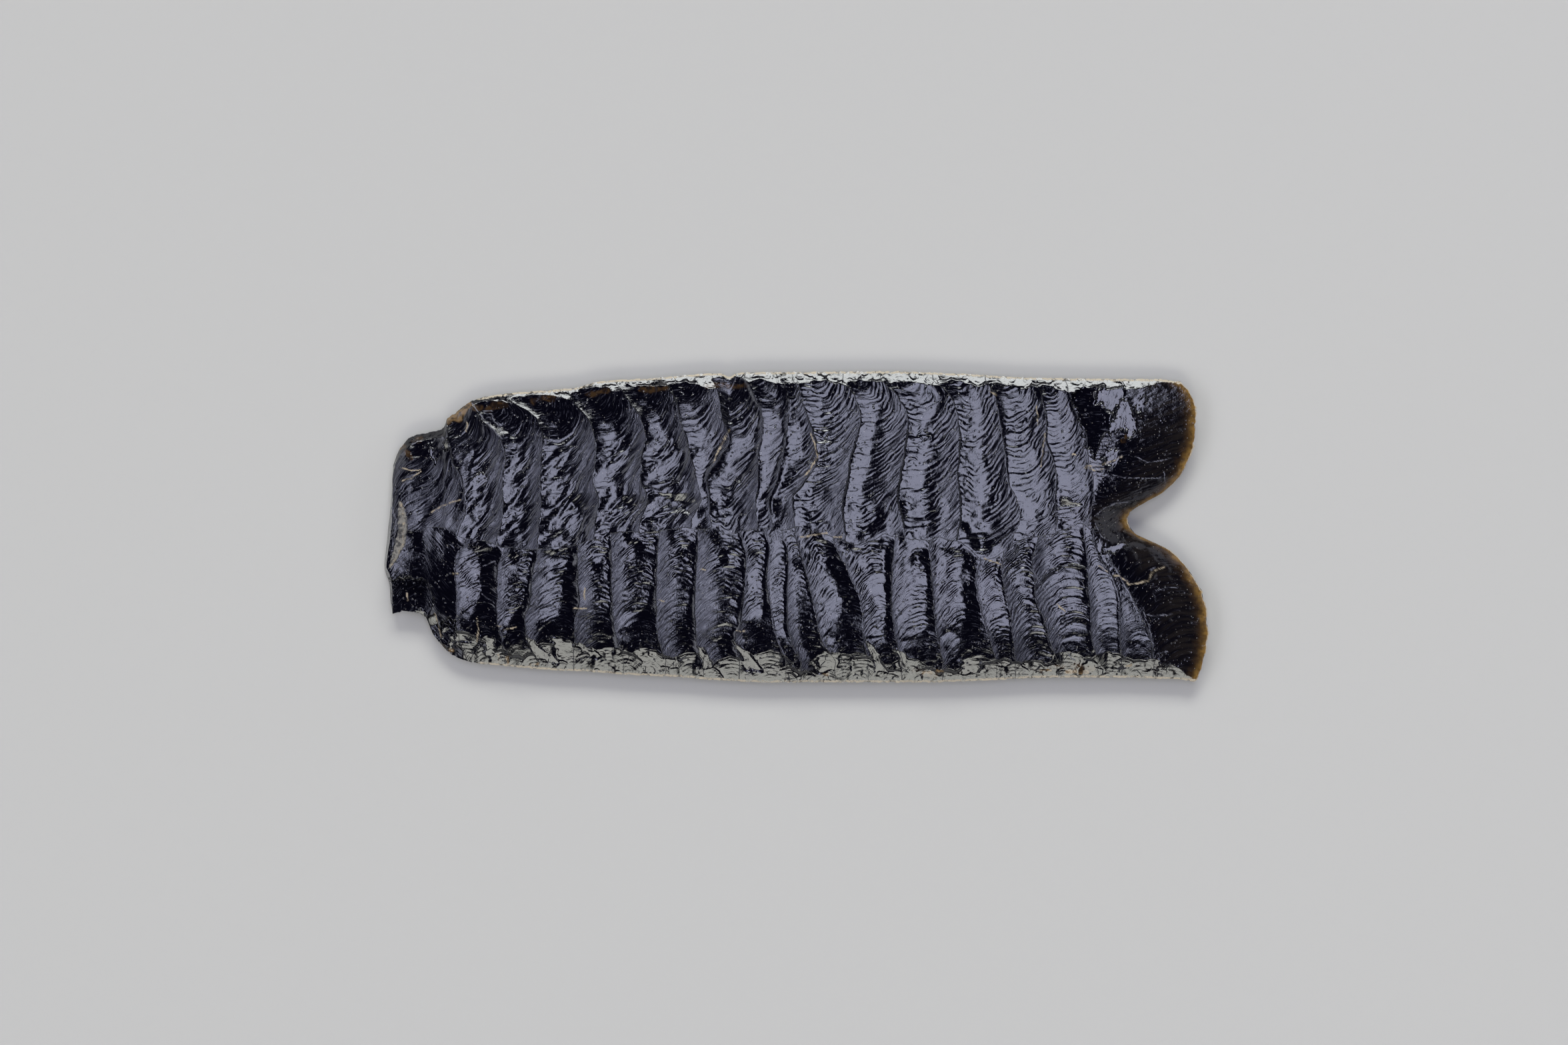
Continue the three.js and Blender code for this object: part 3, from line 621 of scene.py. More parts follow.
def flowOf(half, share, width, along, row):
    # mm ahead of the struck rim along a scar, and mm across it
    fromEdge = np.abs(row - half["edge"](along))
    if half is upperHalf:
        late = np.clip((share - waves["upperBendFrom"]) / (1 - waves["upperBendFrom"]), 0, 1)
        bend = waves["upperBend"] * late ** waves["upperBendPower"]
    else:
        bend = waves["lowerBend"] * (1 - share) ** waves["lowerBendPower"]
        bend += waves["lowerRightBend"] * share ** waves["lowerRightBendPower"]
    bend *= np.minimum(1, width / waves["fullBendWidth"])
    return (fromEdge + bend) * pixelSize, share * width


def lineBeside(half, scar, row, aside):
    out = np.empty_like(row)
    for i in range(len(half["lines"]) - 1):
        own = scar == i
        out[own] = half["lines"][i + aside](row[own])
    return out


def nibbles(half, x, fromRim):
    # the lowest of the small flakes that meet at each place along a rim
    rng = np.random.default_rng(nibbling["seed"] + (half is lowerHalf))
    height = np.full_like(x, np.inf)
    inward = np.minimum(1, fromRim / nibbling["dishFrom"])
    first, past = nibbling["overrun"]
    for sort in nibbling[half["name"]]:
        at = first
        while at < bladeLength + past:
            pitch, slope, reach = (rng.uniform(*sort[key]) for key in ("pitch", "slope", "reach"))
            lean = rng.uniform(-1, 1) * nibbling["lean"]
            aside = x - at - pitch / 2
            near = np.abs(aside) < pitch * nibbling["widthInPitches"]
            away = np.hypot(aside, fromRim)
            ring = np.sin(away * 2 * np.pi / nibbling["ringLength"] + rng.uniform(*nibbling["ringPhase"]))
            own = slope * fromRim + (nibbling["dish"] / pitch * aside ** 2 + lean * aside) * inward
            own += nibbling["ringHeight"] * ring * smoothStep(*nibbling["ringFrom"], fromRim)
            own += nibbling["endRise"] * np.maximum(0, away - reach) ** nibbling["endPower"]
            height = np.where(near, np.minimum(height, own), height)
            at += pitch
    return height


def distanceTo(x, y, run):
    # mm from a run of straight lines through pixel places
    at = [(xOfPixel(column), yOfPixel(row)) for column, row in run]
    nearest = np.full_like(x, np.inf)
    for (ax, ay), (bx, by) in zip(at[:-1], at[1:]):
        share = ((x - ax) * (bx - ax) + (y - ay) * (by - ay)) / ((bx - ax) ** 2 + (by - ay) ** 2)
        share = np.clip(share, 0, 1)
        nearest = np.minimum(nearest, np.hypot(x - mix(ax, bx, share), y - mix(ay, by, share)))
    return nearest


def isInside(x, y, outline):
    at = [(xOfPixel(column), yOfPixel(row)) for column, row in outline]
    inside = np.zeros(x.shape, bool)
    for (ax, ay), (bx, by) in zip(at, at[1:] + at[:1]):
        if ay != by:
            inside ^= ((ay > y) != (by > y)) & (x < ax + (bx - ax) * (y - ay) / (by - ay))
    return inside


def nearRun(x, y, run, margin):
    low, high = np.min(run, axis=0), np.max(run, axis=0)
    return ((x > xOfPixel(low[0]) - margin) & (x < xOfPixel(high[0]) + margin)
            & (y > yOfPixel(high[1]) - margin) & (y < yOfPixel(low[1]) + margin))


def carveFacets(top):
    # flat cuts of their own into the face, streaked and with a ragged edge
    for kind, (streakTilt, streakTurn), outline in facets["shapes"]:
        near = nearRun(top["x"], top["y"], outline, facets["margin"])
        x, y, z = top["x"][near], top["y"][near], top["z"][near]
        inside = isInside(x, y, outline)
        turn = math.radians(streakTurn)
        along = x * math.cos(turn) + y * math.sin(turn)
        across = y * math.cos(turn) - x * math.sin(turn)
        depth = distanceTo(x, y, outline + outline[:1]) * np.where(inside, 1, -1)
        depth += facets["ragged"][kind] * noiseAt("facetEdge", across, along)
        share = smoothStep(-facets["soft"], facets["soft"], depth)
        forkTilt, rimTilt = facets["tilts"][kind]
        forkTilt += floorTilt(np.mean(outline, axis=0)[0])
        plane = (z[inside].mean() - facets["sink"] - slopeOf(forkTilt) * (x - x[inside].mean())
                 + slopeOf(rimTilt) * (y - y[inside].mean()))
        streakWidth = noises["facetStreak"][0]
        plane += slopeOf(streakTilt) * streakWidth / 2 * noiseAt("facetStreak", across, along)
        plane -= max(0, (plane - z)[inside].max() - facets["proud"])
        top["z"][near] = mix(z, np.clip(plane, preform["rimHeight"], bladeThickness), share)
        top["frost"][near] *= 1 - share


def wobbled(surface):
    # small shifts that leave the rims' outline where it is, and notches that only bite into it
    x, y = surface["x"], surface["y"]
    fromRim, fromFork = surface["fromRim"], surface["fromFork"]
    free = smoothStep(*wobble["fromEdge"], np.minimum(fromRim, fromFork))
    free *= smoothStep(*wobble["fromBreak"], x)
    shift = wobble["shift"] * free
    newX = x + shift * noiseAt("shiftAlong", x, y)
    newY = y + shift * noiseAt("shiftAcross", x, y)
    bite = wobble["bite"] * (0.5 + 0.5 * noiseAt("rimBite", x, 0 * x))
    bite += wobble["bite"] * (0.5 + 0.5 * noiseAt("fineRimBite", x, 0 * x)) / 2
    bite *= np.exp(-fromRim / wobble["biteReach"]) * smoothStep(*wobble["biteFromBreak"], x)
    bite *= smoothStep(*wobble["biteFromCorner"], fromFork)
    newY += np.where(y > bladeWidth / 2, -bite, bite)
    forkBite = wobble["bite"] * (1 + noiseAt("forkBite", y, 0 * y))
    forkBite += wobble["bite"] * (1 + noiseAt("longForkBite", y, 0 * y))
    forkBite *= np.exp(-fromFork / wobble["biteReach"]) * smoothStep(*wobble["biteFromCorner"], fromRim)
    surface["x"], surface["y"] = newX - forkBite, newY


def markingShares(top):
    # how strongly each kind of line or stain covers a point, with ragged edges and faint places
    shares = {}
    for kind, marking in markings.items():
        share = np.zeros_like(top["x"])
        for width, run in marking["runs"]:
            half = width * pixelSize / 2
            near = nearRun(top["x"], top["y"], run, width * pixelSize)
            x, y = top["x"][near], top["y"][near]
            away = distanceTo(x, y, run) / half
            away += markingEdges["ragged"] * noiseAt("markingEdge", x / half, y / half)
            broken = mix(markingEdges["faint"], 1, smoothStep(*markingEdges["gapRamp"], noiseAt("markingGap", x, y)))
            share[near] = np.maximum(share[near], smoothStep(*markingEdges["edgeRamp"], away) * broken)
        shares[kind] = share
    return shares


def placesOf(half, along, row):
    # in mm: each point's place, and its distance from the long rim and from the fork's edge
    x, y = xOfPixel(along), yOfPixel(row)
    fromRim = np.abs(y - yOfPixel(half["edge"](along)))
    return {"x": x, "y": y, "fromRim": fromRim, "fromFork": xOfPixel(forkEdge(row)) - x}


def pointsOf(half, column, rowShare, along, row):
    # where each point of a half lies: its scar, how far across it and ahead in it, and the floor there
    scar, share = scarOf(half, column)
    lastScar = len(half["lines"]) - 2
    width = np.abs(xOfPixel(lineBeside(half, scar, row, 1)) - xOfPixel(lineBeside(half, scar, row, 0)))
    ahead, across = flowOf(half, share, width, along, row)
    start, end, lit = floorShares(half, scar, row)
    notch = floors["ragged"] * sum(
        noiseAt(name, ahead, scar * aside, scar * apart)
        for name, (apart, aside) in floors["notches"].items())
    if half is upperHalf:
        end = start + (end - start) * mix(floors["narrowShare"], 1, smoothStep(*floors["narrowTo"], along))
    start = np.maximum(start + notch * floors["startNotch"], floors["leastShare"])
    end = np.maximum(np.maximum(end + notch, floors["leastShare"]), start)
    return SimpleNamespace(
        along=along, row=row, rowShare=rowShare, scar=scar, share=share, width=width, ahead=ahead,
        across=across, start=start, end=end, lit=lit, pastFloor=share - end,
        atEnd=scar == 0, inLobe=scar == lastScar, inMiddle=(scar > 0) & (scar < lastScar),
        apart=scar * waves["scarShift"], **placesOf(half, along, row))


def scarTrough(p):
    # how deep the scars are hollowed out below their ridges
    tilt = floorTilt(p.along)
    climb = np.maximum(floors["leastClimb"], floors["clearTilt"] - tilt)
    tilt = mix(floors["darkTilt"], tilt, smoothStep(*floors["litRamp"], p.lit))
    steepestLeft = mix(*floors["steepestLeft"], smoothStep(*floors["steepRows"], p.rowShare))
    depth = p.width * scarDepth(p.share, p.start, p.end, tilt, climb, steepestLeft)
    run = mix(flaking["rimShare"], 1, smoothStep(0, flaking["fullDepthShare"], p.rowShare))
    trough = depth * run * (1 - smoothStep(flaking["fadeStartShare"], 1, p.rowShare))
    lobeGate = smoothStep(0, 1, p.share / flaking["lobeDeepShare"])
    lobeTrough = flaking["lobeScarDepth"] * lobeHollow(p.along, p.row) * lobeGate
    endTrough = flaking["lobeScarDepth"] * hollow(p.share, flaking["lobeDeepShare"]) * troughRun(p.rowShare)
    return np.where(p.inLobe, lobeTrough, np.where(p.atEnd, endTrough, trough))


def bulbSwell(half, p):
    # the swollen start of each scar, steeper than its floor
    inBulb = np.array(floors[half["name"] + "Bulbs"], float)[p.scar] * pixelSize - p.ahead
    inBulb = (inBulb + np.hypot(inBulb, floors["bulbSoftness"])) / 2
    swell = slopeOf(curveThrough(floors[half["name"] + "BulbTilt"])(p.along)) * inBulb * p.inMiddle
    return np.minimum(swell, floors["deepestBulb"])


def rippleTilt(half, p):
    if half is upperHalf:
        tilt = mix(waves["floorTilt"], waves["flankTilt"], smoothStep(*waves["flankRamp"], p.pastFloor))
        crestTilt = waves["crestTilt"] * waves["upperCrestShare"]
        tilt = mix(tilt, crestTilt, smoothStep(*waves["upperCrestRows"], p.rowShare))
        calm = mix(*waves["leftCalm"], smoothStep(*waves["leftCalmRows"], p.rowShare))
        calm *= mix(1, waves["leftFlankCalm"], smoothStep(*waves["leftFlankRamp"], p.pastFloor))
        return tilt * mix(calm, 1, smoothStep(*waves["leftCalmTo"], p.along))
    tilt = mix(waves["lowerTilt"], waves["crestTilt"], smoothStep(*waves["lowerCrestRows"], p.rowShare))
    tilt = tilt * mix(waves["rimCalm"], 1, smoothStep(*waves["rimCalmRows"], p.rowShare))
    calm = mix(*waves["gapCalm"], smoothStep(*waves["gapCalmTo"], p.along))
    return tilt * mix(1, calm, smoothStep(*waves["gapRamp"], p.pastFloor))


def scarWaves(half, p):
    # ripples, patches, and rough ground where the rows meet
    rng = np.random.default_rng(waves["seed"] + (half is upperHalf))
    count = len(half["lines"])
    firstWave = rng.uniform(0, 1, count)[p.scar]
    length = (waves["length"] * rng.uniform(*waves["lengthRange"], count))[p.scar]
    wander = waves["wander"] * noiseAt("wander", p.ahead, p.across, p.apart)
    wander += waves["shortWander"] * noiseAt("shortWander", p.ahead, p.across, p.apart)
    patchy = smoothStep(*waves["patchyRamp"], noiseAt("patchy", p.ahead, p.across, p.apart))
    patchy = mix(*waves["patchiness"], patchy)
    if half is lowerHalf:
        patchy = np.minimum(patchy, 1)
    calm = 1 - waves["lobeCalm"] * smoothStep(*waves["lobeFrom"], p.along)
    # each ripple climbs gently away from the struck rim and falls steeply
    phase, fall = (p.ahead / length + wander + firstWave) % 1, waves["fallShare"]
    wave = np.where(phase < 1 - fall, phase / (1 - fall), (1 - phase) / fall) - 0.5
    tilt = rippleTilt(half, p)
    relief = slopeOf(tilt) * length * fall * patchy * wave * calm
    if half is upperHalf:
        turns = p.ahead / waves["swellLength"] + firstWave * waves["swellPhases"]
        swell = waves["swellHeight"] * np.sin(2 * np.pi * turns)
        leaning = p.ahead + waves["patchLean"] * p.across
        swell += waves["patchHeight"] * noiseAt("patch", leaning, p.across, p.apart)
        swell *= 1 - smoothStep(*waves["swellTo"], p.along)
        relief += swell * smoothStep(*waves["swellRows"], p.rowShare) * p.inMiddle
    meeting = waves["meetHeight"] * noiseAt("meeting", p.x, p.y)
    meeting *= smoothStep(*waves["meetRows"], p.rowShare) * calm
    relief += meeting * mix(1, waves["meetRight"], smoothStep(*waves["meetRightFrom"], p.along))
    rough = waves["roughHeight"] * noiseAt("rough", p.ahead, p.across, p.apart)
    return relief + rough * calm * mix(waves["leastRough"], 1, tilt / waves["crestTilt"])


def rimBevel(half, p):
    bevel = nibbles(half, p.x, p.fromRim)
    if half is upperHalf:
        return bevel * mix(nibbling["noseSteeper"], 1, smoothStep(*nibbling["noseTo"], p.along))
    snapped = np.minimum(p.fromRim * nibbling["snappedSlope"], nibbling["snappedRise"])
    return bevel + snapped * (1 - smoothStep(*nibbling["snappedTo"], p.along))


def breakCut(p):
    # a strip along the break falls off towards it in small steps
    part = np.clip((p.along - breakRim(p.row)) / (sandRight(p.row) - breakRim(p.row)), 0, 1)
    ripple = preform["stripRipple"] * np.sin(part * 2 * np.pi * preform["stripRipples"])
    return preform["stripDrop"] * stripShare(p.row) * (1 - part + ripple) * (part < 1)


def frostAndSheenOf(half, p):
    # how frosted the surface is: beside the steep flank of each scar, with painted grey sheen, strongest at
    # the break end and weaker towards the fork
    if half is upperHalf:
        frost = smoothStep(*frostingAndSheen["flankRamp"], p.pastFloor / (1 - p.end))
        frost *= smoothStep(*frostingAndSheen["rows"], p.rowShare)
        # painted sheen: the frost grey is weaker towards the fork and keeps a floor at the break end
        frost *= mix(*frostingAndSheen["strength"], smoothStep(*frostingAndSheen["weakerFrom"], p.along))
        frost = np.maximum(frost, frostingAndSheen["left"] * (1 - smoothStep(*frostingAndSheen["leftTo"], p.along)))
        endFrost = smoothStep(*frostingAndSheen["endFrom"], p.row) * (p.row < frostingAndSheen["endTo"])
        endFrost *= smoothStep(*frostingAndSheen["endRamp"], noiseAt("endFrost", p.ahead, p.across))
    else:
        beforeFloor = p.share / np.maximum(p.start, frostingAndSheen["leastStart"])
        frost = 1 - smoothStep(*frostingAndSheen["lowerRamp"], beforeFloor)
        endFrost = np.zeros_like(p.row)
    return np.where(p.atEnd, endFrost, np.where(p.inLobe, 0, frost))


def topSurface(half, column, rowShare, along, row):
    p = pointsOf(half, column, rowShare, along, row)
    crestRise = bladeThickness - preform["rimHeight"] - preform["crestMargin"]
    lensPower = curveThrough(preform[half["name"] + "LensPower"])(along)
    face = lens(preform["faceRimRise"], crestRise, rowShare, lensPower) - scarTrough(p) - bulbSwell(half, p)
    face = face * thinning(along, row) + scarWaves(half, p) * smoothStep(*waves["calmEdgeRows"], rowShare)
    bevel = rimBevel(half, p)
    rise = np.minimum(bevel, face) * (1 - breakCut(p) / crestRise)
    rise = np.minimum(rise, bladeThickness - preform["rimHeight"])
    onFace = face < bevel
    firstSand, lastSand = preform["sandRows"]
    sand = (along > sandLeft(row)) & (along < sandRight(row)) & (row > firstSand) & (row < lastSand)
    uncrushed = nibbling["uncrushedShift"] * (1 - smoothStep(*nibbling["uncrushedTo"], along))
    return {
        "x": p.x, "y": p.y, "z": preform["rimHeight"] + rise, "ahead": p.ahead,
        "across": p.across + p.apart, "frost": frostAndSheenOf(half, p) * onFace, "bevel": 1 - onFace, "sand": sand,
        "fromRim": p.fromRim, "fromCrushed": p.fromRim + uncrushed, "fromFork": p.fromFork}


def undersideSurface(half, column, rowShare, along, row):
    each = flaking["undersideColumnsPerScar"]
    share = column % each / each
    trough = flaking["undersideScarDepth"] * hollow(share, flaking["undersideDeepShare"])
    trough *= troughRun(rowShare)
    crestDrop = preform["rimHeight"] + preform["groundPatchCut"]
    face = lens(preform["undersideRimRise"], crestDrop, rowShare, preform["undersideLensPower"]) - trough
    places = placesOf(half, along, row)
    bevel = preform["undersideBevelRise"] * places["fromRim"] / preform["undersideBevelWidth"]
    drop = np.minimum(bevel, face * thinning(along, row))
    return {**places, "z": np.maximum(0, preform["rimHeight"] - drop)}


def layer(rowCount, firstLine, surface):
    # one face as a grid: column by column from the upper rim over the crest to the lower rim
    columns = np.linspace(0, flaking["coarseColumns"], fineness["columns"] + 1)
    shares = np.linspace(0, 1, rowCount + 1)
    halves = []
    for half in (upperHalf, lowerHalf):
        column, rowShare = np.meshgrid(columns, shares, indexing="ij")
        along, row = place(half, column, rowShare, firstLine)
        halves.append(surface(half, column, rowShare, along, row))
    return {key: np.concatenate([halves[0][key], halves[1][key][:, -2::-1]], axis=1) for key in halves[0]}


def stitch(fineRun, coarseRun):
    # triangles between two runs of points, from the start of both to their ends
    fineAt, coarseAt = np.linspace(0, 1, len(fineRun)), np.linspace(0, 1, len(coarseRun))
    i = j = 0
    faces = []
    while i < len(fineRun) - 1 or j < len(coarseRun) - 1:
        if j == len(coarseRun) - 1 or (i < len(fineRun) - 1 and fineAt[i + 1] <= coarseAt[j + 1]):
            corners = [fineRun[i], fineRun[i + 1], coarseRun[j]]
            i += 1
        else:
            corners = [fineRun[i], coarseRun[j + 1], coarseRun[j]]
            j += 1
        if len(set(corners)) == 3:
            faces.append(corners)
    return faces


bakeMap = {"middle": 0.5, "faceAt": 0.2, "undersideAt": 0.6, "wallAt": 0.85, "scale": 0.98, "margin": 0.01}
restValues = {"frost": 0.3, "bevel": 0, "fromCrushed": 9, "sand": 0, "fromFork": 9}  # on the underside


def addBakeMap(mesh, places, corner, kind):
    # face, underside and break wall, one above the other
    p = places[corner] / bladeLength
    u = np.where(kind == 2, p[:, 1], p[:, 0]) + bakeMap["middle"]
    v = np.select(
        [kind == 0, kind == 1], [p[:, 1] + bakeMap["faceAt"], p[:, 1] + bakeMap["undersideAt"]],
        p[:, 2] + bakeMap["wallAt"])
    uv = np.stack([u, v], -1) * bakeMap["scale"] + bakeMap["margin"]
    mesh.uv_layers.new(name="OFBake").data.foreach_set("uv", uv.astype(np.float32).ravel())


def addValues(mesh, top, places):
    # what the glass needs to know at each point
    topCount = top["x"].size
    kept = {name: (top[name], rest) for name, rest in restValues.items()}
    kept.update({name: (share, 0) for name, share in top["stains"].items()})
    for name, (onTop, rest) in kept.items():
        values = np.concatenate([onTop.ravel(), np.full(len(places) - topCount, rest)])
        mesh.attributes.new(name, "FLOAT", "POINT").data.foreach_set("value", values.astype(np.float32))
    ahead = np.concatenate([top["ahead"].ravel(), places[topCount:, 1]])
    across = np.concatenate([top["across"].ravel(), places[topCount:, 0]])
    flow = np.stack([ahead, across, np.zeros(len(places))], -1).astype(np.float32)
    mesh.attributes.new("flow", "FLOAT_VECTOR", "POINT").data.foreach_set("vector", flow.ravel())


def makeBlade():
    top = layer(fineness["topRows"], breakRim, topSurface)
    under = layer(fineness["undersideRows"], breakFoot, undersideSurface)
    carveFacets(top)
    top["stains"] = markingShares(top)
    wobbled(top)
    wobbled(under)
    for edge in (np.s_[:, 0], np.s_[:, -1], np.s_[-1, :]):
        top["z"][edge] = preform["rimHeight"]
    topId = np.arange(top["x"].size).reshape(top["x"].shape)
    # the underside has its own points, but takes the rims and the fork edge from the top
    underId = np.zeros(under["x"].shape, int)
    inner = np.zeros(under["x"].shape, bool)
    inner[:-1, 1:-1] = True
    underId[inner] = topId.size + np.arange(inner.sum())
    underId[:, 0], underId[:, -1] = topId[:, 0], topId[:, -1]
    places = np.concatenate([
        np.stack([top[k].ravel() for k in "xyz"], -1), np.stack([under[k][inner] for k in "xyz"], -1)])
    places -= [bladeLength / 2, bladeWidth / 2, 0]

    face = np.stack([topId[:-1, :-1], topId[:-1, 1:], topId[1:, 1:], topId[1:, :-1]], -1)
    face = face.reshape(-1, 4).tolist()
    back = np.stack([underId[:-2, :-1], underId[1:-1, :-1], underId[1:-1, 1:], underId[:-2, 1:]], -1)
    back = back.reshape(-1, 4).tolist() + stitch(topId[-1].tolist(), underId[-2].tolist())
    wall = [corners[::-1] for corners in stitch(topId[0].tolist(), underId[0].tolist())]
    polygons = face + back + wall
    sizes = np.array([len(p) for p in polygons])
    corner = np.array([v for p in polygons for v in p], np.int32)
    starts = np.concatenate([[0], np.cumsum(sizes)[:-1]]).astype(np.int32)
    mesh = bpy.data.meshes.new("blade_flaked")
    mesh.vertices.add(len(places))
    mesh.vertices.foreach_set("co", (places / toMillimetres).astype(np.float32).ravel())
    mesh.loops.add(len(corner))
    mesh.loops.foreach_set("vertex_index", corner)
    mesh.polygons.add(len(sizes))
    mesh.polygons.foreach_set("loop_start", starts)
    mesh.update(calc_edges=True)
    kinds = np.repeat([0, 1, 2], [len(face), len(back), len(wall)])
    addBakeMap(mesh, places, corner, np.repeat(kinds, sizes))
    addValues(mesh, top, places)
    mesh.shade_smooth()
    mesh.set_sharp_from_angle(angle=math.radians(fineness["sharpAngle"]))
    blade = bpy.data.objects.new("blade_flaked", mesh)
    bpy.context.scene.collection.objects.link(blade)
    print("blade made", len(places), "points", len(sizes), "faces")
    return blade


# Volcanic glass: near black, frosted where it is hackled with painted grey sheen over the frosting, brown
# where it is thin, crushed rims
stone = {
    "colors": {
        "glass": (0.0009, 0.0008, 0.0032), "frostedAndSheen": (0.032, 0.032, 0.046), "haze": (0.012, 0.0095, 0.009),
        # the pale speck colour stands for dust and for painted glints
        "thin": (0.09, 0.048, 0.017), "golden": (0.25, 0.142, 0.037), "dust": (0.3, 0.28, 0.25),
        "crushed": (0.5, 0.43, 0.31), "sand": (0.2, 0.185, 0.155)},
    "index": 1.6, "thinShare": 0.9,
    "roughness": {"gloss": 0.05, "frost": 0.3, "sand": 0.75, "cracks": 0.9},
    "frostStreaks": 3.2, "frostShare": 0.5, "frostRamp": (0.15, 0.9), "streakedRamp": (0.42, 0.62, 0.25, 1),
    # the edge of a crushed rim, in mm, and how ragged it is
    "raggedNoise": (2600, 3), "raggedWidth": 0.5,
    "crushedRim": (0.07, 0.32, 1, 0), "crushedFork": (-0.05, 0.2, 0.8, 0),
    # patches: scale and detail of a noise, where they begin and end in it, least and greatest share
    "patches": {
        "crushed": (1300, 2, 0.4, 0.52, 0.25, 1), "dust": (700, 2, 0.45, 0.62, 0, 1),
        "golden": (1100, 2, 0.35, 0.6, 0.35, 1), "cracks": (600, 2, 0.56, 0.66, 0, 1),
        "sand": (1800, 3, 0.4, 0.6, 0.2, 1), "pits": (420, 2, 0.46, 0.6, 0, 1)},
    # colours along the fork: scale, detail and width in mm of a noise, mm from the edge as they fade
    "nearFork": {
        "thin": (700, 3, 2.2, 0.5, 4.5), "haze": (160, 3, 9, 8, 18), "golden": (330, 3, 2.4, 1.3, 3.3)},
    # spots and cracks: scale of the cells, where they fade, and their strength. The pale spots are partly
    # dust specks and partly painted glints
    "cells": {
        "dust": ("F1", 1500, 0.1, 0.2, 0.5), "pits": ("F1", 1150, 0.08, 0.26, 1),
        "cracks": ("DISTANCE_TO_EDGE", 520, 0.01, 0.04, 1)},
    # marks that follow the scars: scale ahead and across, detail, roughness of the noise
    "marks": {
        "streaks": (4.2, 0.45, 3, 0.6), "haze": (1.3, 0.12, 3, 0.5), "rings": (2.3, 0.35, 3, 0.62),
        "hackles": (0.8, 4, 2, 0.6)},
    # heights in mm: with frost or on a bevel, and everywhere
    "heights": {"rings": (0.03, 0.03), "hackles": (0.01, 0.005), "grit": (-0.012, 0.019)},
    "gritNoise": (2300, 3, 0.65), "crackHeight": -0.05, "pitHeight": -0.05, "sandHeight": 0.3,
}


def nodeTools(tree):
    def connect(value, socket):
        if isinstance(value, bpy.types.NodeSocket):
            tree.links.new(value, socket)
        else:
            socket.default_value = value

    def calculate(operation, *values):
        node = tree.nodes.new("ShaderNodeMath")
        node.operation = operation
        for socket, value in zip(node.inputs, values):
            connect(value, socket)
        return node.outputs[0]

    def step(value, start, end, low=0, high=1):
        node = tree.nodes.new("ShaderNodeMapRange")
        node.interpolation_type = "SMOOTHSTEP"
        for name, setting in zip(("Value", "From Min", "From Max", "To Min", "To Max"),
                                 (value, start, end, low, high)):
            connect(setting, node.inputs[name])
        return node.outputs[0]

    return connect, calculate, step


